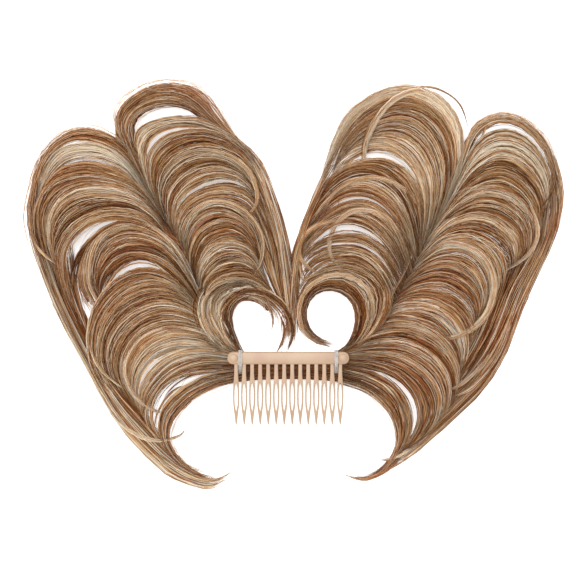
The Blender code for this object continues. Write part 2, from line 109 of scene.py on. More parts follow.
def add_node(tree: bpy.types.NodeTree, kind: str, settings: dict[str, Any] | None = None,
             inputs: dict[Any, Any] | None = None) -> bpy.types.Node:
    """Add a shader node with its settings and links.

    Args:
        tree: the node tree to add to.
        kind: the node's type name.
        settings: properties of the node itself.
        inputs: values for its sockets; an output socket is linked, anything else is set.

    Returns:
        The new node.
    """
    node = tree.nodes.new(kind)
    for name, value in (settings or {}).items():
        setattr(node, name, value)
    for key, value in (inputs or {}).items():
        if isinstance(value, bpy.types.NodeSocket):
            tree.links.new(value, node.inputs[key])
        else:
            node.inputs[key].default_value = value
    return node


def set_ramp(node: bpy.types.Node, stops: list[tuple[float, str]]) -> None:
    """Give a colour ramp these stops.

    Args:
        node: the colour ramp node.
        stops: pairs of a place along the ramp and an sRGB hex code.
    """
    ramp = node.color_ramp
    while len(ramp.elements) < len(stops):
        ramp.elements.new(0.5)
    for element, (place, code) in zip(ramp.elements, stops):
        element.position = place
        element.color = linear(code)


def new_material(name: str) -> tuple[bpy.types.Material, bpy.types.NodeTree, bpy.types.Node]:
    """Make a node material.

    Args:
        name: what the material is.

    Returns:
        The material, its tree and its Principled shader.
    """
    material = bpy.data.materials.new(name)
    material.use_nodes = True
    tree = material.node_tree
    return material, tree, tree.nodes["Principled BSDF"]


@dataclass(frozen=True)
class HairFibre:
    """Heat-styled synthetic hair: fine satin fibres, so lights draw a soft band across each curl."""

    name: str
    roughness: float = 0.42
    specular: float = 0.30
    grain: float = 0.16
    root_shade: float = 0.64
    streak_run: float = 24.0
    streaks_across: float = 2200.0
    streak_depth: float = 1.5
    lots_across: float = 900.0
    auburn: str = "ECBE9E"
    stops: tuple[tuple[float, str], ...] = (
        (0.00, "3C2010"),
        (0.22, "8A4E2A"),
        (0.42, "BD8850"),
        (0.60, "DCB17C"),
        (0.80, "F6E4C0"),
        (1.00, "FFF9EC"),
    )

    def build(self) -> bpy.types.Material:
        """Make the material.

        Returns:
            Hair that takes its tone from the strands' own "strand" attribute.
        """
        material, tree, shader = new_material(self.name)
        strand = add_node(tree, "ShaderNodeAttribute", {"attribute_name": "strand"})
        parts = add_node(tree, "ShaderNodeSeparateColor", inputs={"Color": strand.outputs["Color"]})
        place = add_node(tree, "ShaderNodeTexCoord")
        # Dye takes unevenly along a fibre, in patches of a few millimetres
        noise = add_node(tree, "ShaderNodeTexNoise", inputs={
            "Vector": place.outputs["Object"], "Scale": 240.0, "Detail": 2.0})
        patchy = add_node(tree, "ShaderNodeMath", {"operation": "MULTIPLY_ADD"}, {
            0: noise.outputs["Fac"], 1: self.grain, 2: -self.grain / 2})
        # A flat tress shows its single hairs, as streaks that run along it
        tress = add_node(tree, "ShaderNodeUVMap", {"uv_map": "OFBake"})
        stretch = add_node(tree, "ShaderNodeMapping", inputs={
            "Vector": tress.outputs["UV"], "Scale": (self.streak_run, self.streaks_across, 1.0)})
        streak = add_node(tree, "ShaderNodeTexNoise", {"noise_dimensions": "2D"}, {
            "Vector": stretch.outputs["Vector"], "Scale": 1.0, "Detail": 1.0})
        contrast = add_node(tree, "ShaderNodeMath", {"operation": "MULTIPLY_ADD"}, {
            0: streak.outputs["Fac"], 1: self.streak_depth, 2: -self.streak_depth / 2})
        uneven = add_node(tree, "ShaderNodeMath", {"operation": "ADD"}, {
            0: patchy.outputs["Value"], 1: contrast.outputs["Value"]})
        tone = add_node(tree, "ShaderNodeMath", {"operation": "ADD", "use_clamp": True}, {
            0: parts.outputs["Red"], 1: uneven.outputs["Value"]})
        bump = add_node(tree, "ShaderNodeBump", inputs={
            "Height": streak.outputs["Fac"], "Strength": 0.7, "Distance": 0.12 * MILLI})
        tree.links.new(bump.outputs["Normal"], shader.inputs["Normal"])
        ramp = add_node(tree, "ShaderNodeValToRGB", inputs={"Fac": tone.outputs["Value"]})
        set_ramp(ramp, list(self.stops))
        # Fibres of two dye lots are blended in each lock, so auburn hairs run among the blond ones
        lots = add_node(tree, "ShaderNodeMapping", inputs={
            "Vector": tress.outputs["UV"], "Scale": (1.0, self.lots_across, 1.0)})
        lot = add_node(tree, "ShaderNodeTexNoise", {"noise_dimensions": "2D"}, {
            "Vector": lots.outputs["Vector"], "Scale": 1.0, "Detail": 0.0})
        sewn = add_node(tree, "ShaderNodeTexNoise", inputs={
            "Vector": place.outputs["Object"], "Scale": 26.0, "Detail": 0.0})
        blend = add_node(tree, "ShaderNodeMath", {"operation": "MULTIPLY_ADD"}, {
            0: sewn.outputs["Fac"], 1: 0.6, 2: lot.outputs["Fac"]})
        redness = add_node(tree, "ShaderNodeMapRange", {"clamp": True}, {
            "Value": blend.outputs["Value"], "From Min": 0.80, "From Max": 1.0, "To Min": 0.0, "To Max": 1.0})
        # The palest fibres are bleached, so they take none of the auburn
        bleached = add_node(tree, "ShaderNodeMapRange", {"clamp": True}, {
            "Value": parts.outputs["Red"], "From Min": 0.42, "From Max": 0.80, "To Min": 1.0, "To Max": 0.1})
        auburn = add_node(tree, "ShaderNodeMath", {"operation": "MULTIPLY"}, {
            0: redness.outputs["Result"], 1: bleached.outputs["Result"]})
        dyed = add_node(tree, "ShaderNodeMix", {"data_type": "RGBA", "blend_type": "MULTIPLY"}, {
            "Factor": auburn.outputs["Value"], "A": ramp.outputs["Color"], "B": linear(self.auburn)})
        # Painted shade: the colour darkens towards the roots, where the hair is packed tight, and by each strand's own
        # painted shade
        rise = add_node(tree, "ShaderNodeMapRange", {"clamp": True}, {
            "Value": parts.outputs["Green"], "From Min": 0.0, "From Max": 0.22,
            "To Min": self.root_shade, "To Max": 1.0})
        shade = add_node(tree, "ShaderNodeMath", {"operation": "MULTIPLY"}, {
            0: rise.outputs["Result"], 1: parts.outputs["Blue"]})
        colour = add_node(tree, "ShaderNodeVectorMath", {"operation": "SCALE"}, {
            0: dyed.outputs["Result"], "Scale": shade.outputs["Value"]})
        tree.links.new(colour.outputs["Vector"], shader.inputs["Base Color"])
        shader.inputs["Roughness"].default_value = self.roughness
        shader.inputs["Specular IOR Level"].default_value = self.specular
        shader.inputs["IOR"].default_value = 1.55
        return material


@dataclass(frozen=True)
class MouldedPlastic:
    """Injection-moulded polypropylene: beige, satin, with the faint mottle of its mould."""

    name: str
    light: str = "C2A486"
    deep: str = "B7967A"
    roughness: float = 0.38

    def build(self) -> bpy.types.Material:
        """Make the material.

        Returns:
            Satin beige plastic with a fine bump.
        """
        material, tree, shader = new_material(self.name)
        place = add_node(tree, "ShaderNodeTexCoord")
        flow = add_node(tree, "ShaderNodeTexNoise", inputs={
            "Vector": place.outputs["Object"], "Scale": 90.0, "Detail": 3.0})
        ramp = add_node(tree, "ShaderNodeValToRGB", inputs={"Fac": flow.outputs["Fac"]})
        set_ramp(ramp, [(0.3, self.deep), (0.7, self.light)])
        fine = add_node(tree, "ShaderNodeTexNoise", inputs={
            "Vector": place.outputs["Object"], "Scale": 2600.0, "Detail": 2.0})
        bump = add_node(tree, "ShaderNodeBump", inputs={
            "Height": fine.outputs["Fac"], "Strength": 0.06, "Distance": 0.02 * MILLI})
        tree.links.new(ramp.outputs["Color"], shader.inputs["Base Color"])
        tree.links.new(bump.outputs["Normal"], shader.inputs["Normal"])
        shader.inputs["Roughness"].default_value = self.roughness
        shader.inputs["IOR"].default_value = 1.49
        shader.inputs["Subsurface Weight"].default_value = 0.08
        shader.inputs["Subsurface Scale"].default_value = 0.6 * MILLI
        return material


@dataclass(frozen=True)
class ClearElastic:
    """Clear polyurethane elastic: milky where it is stretched, with a wet-looking highlight."""

    name: str
    tint: str = "F1EDE8"
    roughness: float = 0.24
    clearness: float = 0.45

    def build(self) -> bpy.types.Material:
        """Make the material.

        Returns:
            Milky translucent elastic.
        """
        material, tree, shader = new_material(self.name)
        place = add_node(tree, "ShaderNodeTexCoord")
        cloud = add_node(tree, "ShaderNodeTexNoise", inputs={"Vector": place.outputs["Object"], "Scale": 700.0})
        ramp = add_node(tree, "ShaderNodeValToRGB", inputs={"Fac": cloud.outputs["Fac"]})
        set_ramp(ramp, [(0.35, "DCD6CE"), (0.65, self.tint)])
        tree.links.new(ramp.outputs["Color"], shader.inputs["Base Color"])
        shader.inputs["Roughness"].default_value = self.roughness
        shader.inputs["IOR"].default_value = 1.5
        shader.inputs["Transmission Weight"].default_value = self.clearness
        return material


@dataclass(frozen=True)
class PaperSweep:
    """White paper over a light table: dead matt, with hardly any tooth, and a faint glow that thins its shadows."""

    name: str
    tint: str = "FCFCFC"
    glow: float = 0.50

    def build(self) -> bpy.types.Material:
        """Make the material.

        Returns:
            Matt white paper.
        """
        material, tree, shader = new_material(self.name)
        place = add_node(tree, "ShaderNodeTexCoord")
        tooth = add_node(tree, "ShaderNodeTexNoise", inputs={"Vector": place.outputs["Object"], "Scale": 1500.0})
        bump = add_node(tree, "ShaderNodeBump", inputs={
            "Height": tooth.outputs["Fac"], "Strength": 0.03, "Distance": 0.02 * MILLI})
        tree.links.new(bump.outputs["Normal"], shader.inputs["Normal"])
        shader.inputs["Base Color"].default_value = linear(self.tint)
        shader.inputs["Roughness"].default_value = 0.9
        shader.inputs["Specular IOR Level"].default_value = 0.1
        shader.inputs["Emission Color"].default_value = linear(self.tint)
        shader.inputs["Emission Strength"].default_value = self.glow
        return material


@dataclass(frozen=True)
class SpineRow:
    """A place on a wing's spine: out and up as shares of the wing's rise, high of the crest height."""

    out: float
    up: float
    high: float


LEFT_SPINE = (
    SpineRow(-0.262, -0.085, 0.20),
    SpineRow(-0.275, 0.020, 0.22),
    SpineRow(-0.385, 0.120, 0.34),
    SpineRow(-0.420, 0.250, 0.46),
    SpineRow(-0.430, 0.410, 0.52),
    SpineRow(-0.500, 0.600, 0.54),
    SpineRow(-0.630, 0.800, 0.50),
    SpineRow(-0.735, 0.985, 0.40),
)
RIGHT_SPINE = (
    SpineRow(0.262, -0.090, 0.20),
    SpineRow(0.275, 0.020, 0.22),
    SpineRow(0.420, 0.160, 0.34),
    SpineRow(0.520, 0.330, 0.46),
    SpineRow(0.600, 0.510, 0.52),
    SpineRow(0.690, 0.700, 0.54),
    SpineRow(0.765, 0.880, 0.50),
    SpineRow(0.790, 0.985, 0.40),
)


@dataclass(frozen=True)
class Guide:
    """A lock that the photograph shows: its run in pixels from root to tip, and the tone of its hair, partly its own
    colour and partly painted highlight and shade.

    "fill" is how much hair lies between this lock and the next, from 0, where the paper shows, to 1.
    """

    run: tuple[tuple[int, int], ...]
    tone: float
    fill: float = 1.0


@dataclass(frozen=True)
class Curl:
    """A curl that stands out in the photograph: its run in pixels, its width in millimetres and its tone, partly the
    hair's own colour and partly painted highlight and shade.
    """

    run: tuple[tuple[int, int], ...]
    wide: float
    tone: float
    strands: int = 34
    over: float = 1.0


LEFT_OUTER = (
    Guide(((158, 200), (142, 170), (133, 156), (124, 146), (114, 138), (100, 132), (85, 130), (70, 133), (56, 142),
           (45, 154), (37, 170), (32, 188), (28, 208), (29, 228), (34, 248), (42, 270), (53, 298), (66, 326)), 0.28, 0.7),
    Guide(((156, 204), (138, 172), (128, 158), (116, 148), (100, 142), (84, 139), (68, 142), (55, 151), (45, 165),
           (38, 184), (35, 205), (35, 228), (40, 250), (50, 276), (62, 304)), 0.36, 0.0),
    Guide(((154, 206), (138, 178), (124, 162), (112, 152), (98, 146), (84, 145), (66, 148), (53, 158), (44, 174),
           (38, 194), (36, 216), (38, 238), (46, 264)), 0.88, 0.8),
    Guide(((156, 210), (140, 184), (126, 168), (110, 160), (96, 157), (82, 157), (68, 161), (56, 170), (46, 184),
           (40, 202), (38, 222), (41, 244), (50, 270)), 0.84, 0.45),
    Guide(((158, 214), (142, 192), (126, 176), (108, 168), (92, 164), (78, 165), (64, 169), (53, 178), (45, 191),
           (40, 206), (39, 226), (43, 250), (52, 276)), 0.38),
    Guide(((164, 222), (148, 198), (130, 184), (108, 177), (86, 175), (66, 179), (50, 188), (41, 201), (37, 219),
           (40, 242), (48, 268), (60, 296)), 0.44),
    Guide(((168, 232), (152, 208), (132, 192), (108, 185), (85, 185), (66, 192), (54, 204), (48, 220), (48, 244),
           (56, 270), (68, 298)), 0.54),
    Guide(((172, 242), (156, 216), (134, 200), (108, 195), (86, 197), (69, 205), (58, 218), (53, 236), (56, 260),
           (65, 286), (78, 314)), 0.46),
    Guide(((176, 252), (160, 226), (138, 210), (112, 206), (90, 211), (73, 221), (61, 236), (55, 254), (58, 276),
           (67, 302), (80, 328)), 0.42),
    Guide(((180, 262), (164, 236), (142, 221), (116, 217), (95, 222), (79, 232), (67, 247), (63, 266), (66, 290),
           (76, 318), (88, 344)), 0.52, 0.10),
    Guide(((194, 286), (182, 258), (168, 240), (150, 228), (130, 222), (112, 226), (98, 235), (85, 247), (76, 261),
           (71, 277), (72, 296), (78, 316)), 0.28),
    Guide(((206, 308), (192, 276), (178, 250), (164, 236), (148, 228), (132, 225), (116, 227), (102, 236), (94, 250),
           (90, 266), (90, 282), (95, 296), (104, 308), (116, 318)), 0.60),
    Guide(((206, 312), (192, 282), (174, 256), (156, 243), (136, 238), (118, 242), (105, 252), (98, 266), (96, 280),
           (98, 294), (106, 307), (118, 318)), 0.44),
    Guide(((208, 316), (192, 288), (172, 265), (152, 254), (132, 252), (116, 258), (104, 269), (98, 282), (98, 296),
           (104, 308), (114, 318)), 0.50),
    Guide(((208, 318), (192, 292), (174, 273), (156, 261), (138, 258), (122, 263), (108, 273), (100, 285), (98, 298),
           (102, 310)), 0.40, 0.0),
    Guide(((210, 324), (194, 298), (178, 280), (160, 270), (142, 268), (126, 273), (112, 283), (100, 298), (91, 316),
           (87, 338), (89, 362), (98, 384), (112, 404), (128, 422)), 0.52),
    Guide(((214, 330), (198, 308), (180, 292), (160, 284), (142, 285), (124, 293), (110, 306), (99, 324), (95, 346),
           (98, 368), (108, 388), (124, 408), (142, 424)), 0.58),
    Guide(((218, 336), (202, 316), (184, 303), (162, 298), (142, 303), (124, 314), (111, 331), (105, 350), (108, 372),
           (119, 392), (134, 408)), 0.44),
    Guide(((224, 342), (206, 326), (186, 315), (164, 312), (144, 318), (128, 330), (117, 346), (113, 364), (118, 384),
           (130, 404), (146, 420)), 0.50),
    Guide(((232, 350), (212, 335), (190, 326), (168, 324), (148, 330), (134, 342), (125, 358), (123, 376), (129, 395),
           (141, 412), (156, 424)), 0.56),
    Guide(((242, 356), (220, 345), (196, 336), (174, 334), (154, 341), (140, 353), (131, 370), (130, 388), (137, 406),
           (149, 420)), 0.50),
    Guide(((250, 358), (226, 352), (202, 345), (180, 344), (160, 350), (146, 362), (137, 378), (135, 396), (141, 413),
           (152, 428)), 0.72, 0.45),
    Guide(((250, 360), (228, 356), (206, 352), (184, 353), (166, 360), (152, 372), (143, 387), (140, 404), (145, 420),
           (156, 434)), 0.80, 0.75),
    Guide(((250, 362), (228, 361), (206, 359), (186, 363), (169, 372), (156, 385), (147, 400), (145, 416), (149, 432),
           (160, 446)), 0.62),
    Guide(((250, 365), (230, 366), (208, 367), (190, 371), (173, 379), (159, 391), (150, 405), (147, 420), (152, 436),
           (164, 452)), 0.36, 0.0),
    Guide(((254, 372), (233, 374), (212, 378), (192, 386), (176, 397), (164, 411), (160, 426), (163, 442), (172, 458),
           (186, 470), (204, 479), (222, 480)), 0.36),
    Guide(((254, 378), (234, 381), (214, 387), (196, 396), (182, 408), (172, 421), (168, 436), (172, 450), (182, 464),
           (198, 475), (215, 479)), 0.30),
)
LEFT_TAILS = (
    Guide(((29, 208), (30, 236), (37, 262), (48, 292), (60, 320), (74, 346), (87, 370), (99, 393), (113, 416), (129, 436),
           (146, 453), (164, 469), (184, 480), (206, 486), (228, 479)), 0.56),
    Guide(((36, 220), (44, 254), (54, 286), (66, 314), (80, 342), (93, 367), (107, 391), (123, 414), (141, 434), (158, 452),
           (176, 467), (196, 478), (216, 482)), 0.48),
    Guide(((42, 238), (56, 272), (64, 298), (76, 324), (89, 348), (102, 371), (117, 393), (134, 413), (150, 430), (162, 446),
           (176, 460), (192, 472)), 0.36),
    Guide(((60, 234), (64, 262), (68, 284), (76, 310), (86, 334), (98, 358), (112, 380), (128, 400), (146, 417)), 0.34),
    Guide(((68, 228), (72, 252), (73, 272), (77, 294), (83, 318), (90, 342), (100, 366), (114, 388), (130, 408)), 0.46),
)
LEFT_INNER = (
    Guide(((156, 204), (144, 178), (132, 155), (122, 138), (118, 121), (123, 107), (136, 95), (152, 88), (168, 86),
           (184, 88), (198, 95), (209, 106), (219, 121), (231, 135), (246, 147), (259, 166), (269, 187), (277, 208)), 0.40),
    Guide(((158, 206), (146, 180), (136, 158), (127, 140), (123, 124), (130, 111), (143, 101), (160, 96), (177, 96),
           (192, 102), (203, 111), (213, 122), (227, 134), (242, 147), (254, 165)), 0.48),
    Guide(((158, 208), (148, 182), (140, 160), (132, 142), (130, 127), (138, 115), (151, 107), (167, 103), (182, 104),
           (195, 110), (206, 118), (219, 128), (233, 140)), 0.52, 0.0),
    Guide(((160, 212), (150, 188), (142, 166), (137, 148), (138, 134), (148, 125), (164, 120), (181, 118), (199, 119),
           (215, 125), (231, 134), (246, 147), (258, 163), (266, 183)), 0.44, 0.9),
    Guide(((162, 216), (152, 192), (145, 172), (142, 154), (146, 140), (157, 131), (172, 126), (189, 125), (206, 127),
           (222, 133), (238, 143), (250, 156)), 0.56, 0.15),
    Guide(((166, 222), (156, 198), (150, 178), (150, 161), (157, 147), (171, 136), (189, 131), (207, 131), (226, 137),
           (242, 148), (255, 162), (264, 180), (270, 200)), 0.56),
    Guide(((170, 228), (161, 205), (157, 184), (160, 167), (171, 154), (187, 146), (205, 143), (223, 146), (239, 154),
           (252, 167), (260, 184), (264, 202), (262, 217)), 0.36),
    Guide(((172, 232), (164, 210), (161, 190), (167, 173), (180, 160), (197, 153), (215, 153), (232, 158), (246, 169),
           (255, 184), (258, 201), (253, 214)), 0.62),
    Guide(((176, 238), (168, 216), (167, 196), (175, 180), (190, 168), (207, 162), (224, 163), (239, 170), (250, 182),
           (255, 197)), 0.38),
    Guide(((178, 242), (172, 222), (174, 202), (184, 187), (199, 176), (216, 171), (232, 173), (245, 180), (255, 192), (262, 208),
           (266, 226)), 0.60),
    Guide(((180, 244), (175, 225), (178, 206), (189, 192), (205, 183), (223, 179), (240, 182), (253, 193), (261, 207), (265, 222)),
          0.56, 0.1),
    Guide(((180, 246), (176, 228), (180, 210), (191, 197), (206, 189), (224, 185), (240, 188), (253, 197), (261, 210), (266, 228)),
          0.42),
    Guide(((182, 250), (178, 232), (183, 214), (195, 202), (210, 195), (228, 193), (244, 197), (256, 208), (264, 224),
           (267, 240)), 0.44, 0.05),
    Guide(((184, 253), (179, 235), (184, 217), (196, 205), (211, 198), (229, 197), (245, 203), (256, 216), (263, 233),
           (265, 251)), 0.40),
    Guide(((188, 262), (187, 242), (193, 224), (204, 213), (219, 209), (235, 213), (248, 223), (257, 238), (260, 255),
           (257, 270)), 0.54),
    Guide(((192, 272), (192, 252), (199, 235), (211, 225), (226, 221), (241, 226), (252, 238), (258, 253), (258, 269)), 0.44),
    Guide(((196, 282), (197, 262), (204, 246), (216, 236), (231, 233), (245, 239), (254, 251), (259, 266), (258, 281)), 0.36),
    Guide(((200, 292), (200, 272), (208, 256), (220, 247), (235, 245), (249, 251), (258, 263), (266, 277),
           (273, 292)), 0.62),
    Guide(((202, 298), (203, 280), (212, 266), (225, 258), (240, 257), (253, 264), (261, 277), (268, 291),
           (275, 306)), 0.44),
    Guide(((206, 308), (206, 290), (214, 277), (228, 270), (244, 269), (259, 276), (271, 288), (280, 303)), 0.36),
    Guide(((208, 314), (206, 298), (214, 285), (228, 278), (245, 277), (261, 284), (273, 296), (281, 310)), 0.34),
)
LEFT_RING = (
    Guide(((240, 358), (224, 353), (206, 342), (196, 326), (192, 308), (197, 291), (209, 280), (226, 275), (244, 275),
           (260, 282), (272, 293), (281, 308)), 0.38),
    Guide(((242, 357), (228, 351), (212, 337), (202, 320), (201, 303), (208, 289), (222, 280), (240, 279), (256, 285),
           (269, 297)), 0.66),
    Guide(((244, 357), (231, 350), (217, 334), (208, 316), (208, 301), (216, 289), (230, 282), (246, 283), (260, 290)),
          0.56),
    Guide(((246, 357), (234, 350), (222, 332), (215, 314), (215, 301), (224, 290), (238, 285), (252, 288)), 0.74, 0.8),
    Guide(((248, 357), (237, 350), (227, 331), (221, 313), (225, 300), (237, 291), (252, 288), (267, 292), (280, 301),
           (290, 315), (294, 332), (289, 350)), 0.30),
    Guide(((248, 357), (240, 349), (233, 331), (231, 316), (236, 304), (248, 296), (262, 295), (276, 301), (287, 312),
           (292, 328), (291, 343), (284, 356)), 0.26),
)
LEFT_COLUMN = (
    Guide(((232, 134), (250, 150), (263, 169), (272, 191), (280, 215), (286, 240), (290, 266), (294, 294), (296, 322),
           (294, 344)), 0.50),
    Guide(((236, 146), (252, 164), (264, 187), (272, 211), (279, 237), (283, 261), (286, 284), (288, 306),
           (290, 326), (287, 344)), 0.56),
    Guide(((246, 186), (258, 206), (267, 227), (274, 248), (278, 270), (281, 290), (286, 308), (288, 326)), 0.42),
    Guide(((240, 198), (252, 214), (261, 232), (267, 251), (271, 271), (277, 289), (284, 306), (287, 322)), 0.46),
    Guide(((236, 212), (247, 226), (255, 241), (261, 258), (268, 274), (276, 290), (283, 306)), 0.40),
)
RIGHT_INNER = (
    Guide(((430, 238), (446, 205), (456, 178), (460, 154), (458, 130), (447, 109), (430, 95), (410, 88), (388, 90),
           (368, 99), (350, 113), (338, 132), (330, 152), (324, 172), (321, 188)), 0.66),
    Guide(((428, 240), (444, 206), (453, 178), (456, 154), (452, 131), (440, 112), (423, 100), (404, 95), (384, 98),
           (365, 108), (350, 122), (339, 140), (331, 158), (326, 174)), 0.76),
    Guide(((428, 242), (442, 208), (450, 180), (451, 156), (444, 133), (430, 116), (412, 107), (394, 107), (376, 114),
           (359, 126), (346, 141), (338, 157), (333, 172)), 0.34),
    Guide(((426, 244), (438, 210), (444, 184), (443, 160), (434, 138), (419, 122), (401, 116), (383, 119), (365, 128),
           (350, 142), (339, 158), (332, 173)), 0.50),
    Guide(((424, 246), (434, 214), (438, 188), (435, 165), (425, 144), (409, 130), (391, 126), (373, 130), (356, 140),
           (343, 154), (334, 169)), 0.58),
    Guide(((422, 248), (429, 218), (431, 194), (427, 172), (416, 152), (400, 140), (382, 136), (365, 140), (350, 149),
           (338, 161)), 0.50),
    Guide(((420, 250), (424, 222), (424, 198), (418, 179), (408, 163), (393, 150), (376, 145), (359, 148), (345, 155),
           (335, 165)), 0.60, 0.0),
    Guide(((420, 254), (422, 228), (421, 203), (414, 182), (402, 169), (385, 161), (366, 161), (348, 166), (332, 176),
           (319, 192), (310, 208), (303, 224)), 0.56),
    Guide(((418, 258), (415, 232), (408, 208), (397, 189), (381, 176), (363, 171), (345, 175), (330, 186), (318, 200),
           (308, 215), (300, 231)), 0.36),
    Guide(((416, 262), (411, 238), (402, 215), (389, 197), (372, 186), (354, 184), (338, 191), (324, 203), (313, 218),
           (303, 233), (297, 249)), 0.58, 0.8),
    Guide(((414, 268), (407, 243), (397, 221), (383, 205), (366, 196), (348, 196), (333, 203), (320, 215), (308, 229),
           (300, 245)), 0.46, 0.15),
    Guide(((412, 272), (405, 248), (395, 226), (381, 210), (363, 202), (345, 204), (330, 212), (316, 225), (304, 240),
           (298, 258)), 0.54),
    Guide(((408, 280), (399, 256), (387, 236), (371, 221), (353, 215), (336, 218), (321, 228), (308, 242), (300, 259)),
          0.36),
    Guide(((406, 284), (397, 261), (384, 242), (368, 228), (350, 222), (333, 225), (318, 235), (306, 248), (299, 264)),
          0.42, 0.05),
    Guide(((404, 288), (394, 267), (381, 249), (364, 238), (346, 235), (328, 238), (313, 246), (303, 257), (299, 270)),
          0.40),
    Guide(((402, 292), (391, 270), (378, 253), (361, 243), (343, 241), (326, 243), (311, 250), (302, 261)), 0.44, 0.08),
    Guide(((399, 297), (389, 275), (376, 258), (360, 248), (342, 246), (324, 249), (310, 257), (301, 270)), 0.38),
    Guide(((392, 310), (383, 288), (370, 271), (353, 262), (335, 261), (318, 266), (306, 277), (299, 291)), 0.46),
)
RIGHT_RING = (
    Guide(((336, 358), (352, 352), (374, 334), (388, 312), (390, 290), (380, 273), (363, 263), (344, 262), (325, 268),
           (310, 280), (300, 296), (296, 312)), 0.50),
    Guide(((334, 357), (350, 351), (369, 333), (379, 312), (380, 292), (370, 277), (353, 268), (334, 269), (316, 277),
           (303, 291), (297, 308), (299, 324)), 0.40),
    Guide(((332, 357), (348, 350), (364, 333), (371, 314), (370, 296), (360, 282), (345, 275), (327, 275), (311, 283),
           (301, 297), (297, 313), (300, 329), (310, 341)), 0.58),
    Guide(((330, 357), (346, 350), (359, 334), (364, 318), (362, 302), (353, 289), (339, 281), (322, 282), (308, 291),
           (301, 305), (301, 321), (309, 335), (323, 344), (338, 345)), 0.34),
    Guide(((328, 357), (343, 350), (354, 336), (358, 320), (356, 306), (347, 295), (333, 289), (319, 291), (309, 300),
           (305, 314), (308, 328), (318, 339)), 0.28),
)
RIGHT_COLUMN = (
    Guide(((338, 150), (325, 172), (314, 196), (304, 220), (297, 243), (293, 266), (291, 290), (290, 314), (286, 342)),
          0.52),
    Guide(((336, 176), (322, 196), (311, 218), (303, 240), (299, 262), (300, 282), (300, 302)), 0.44),
)
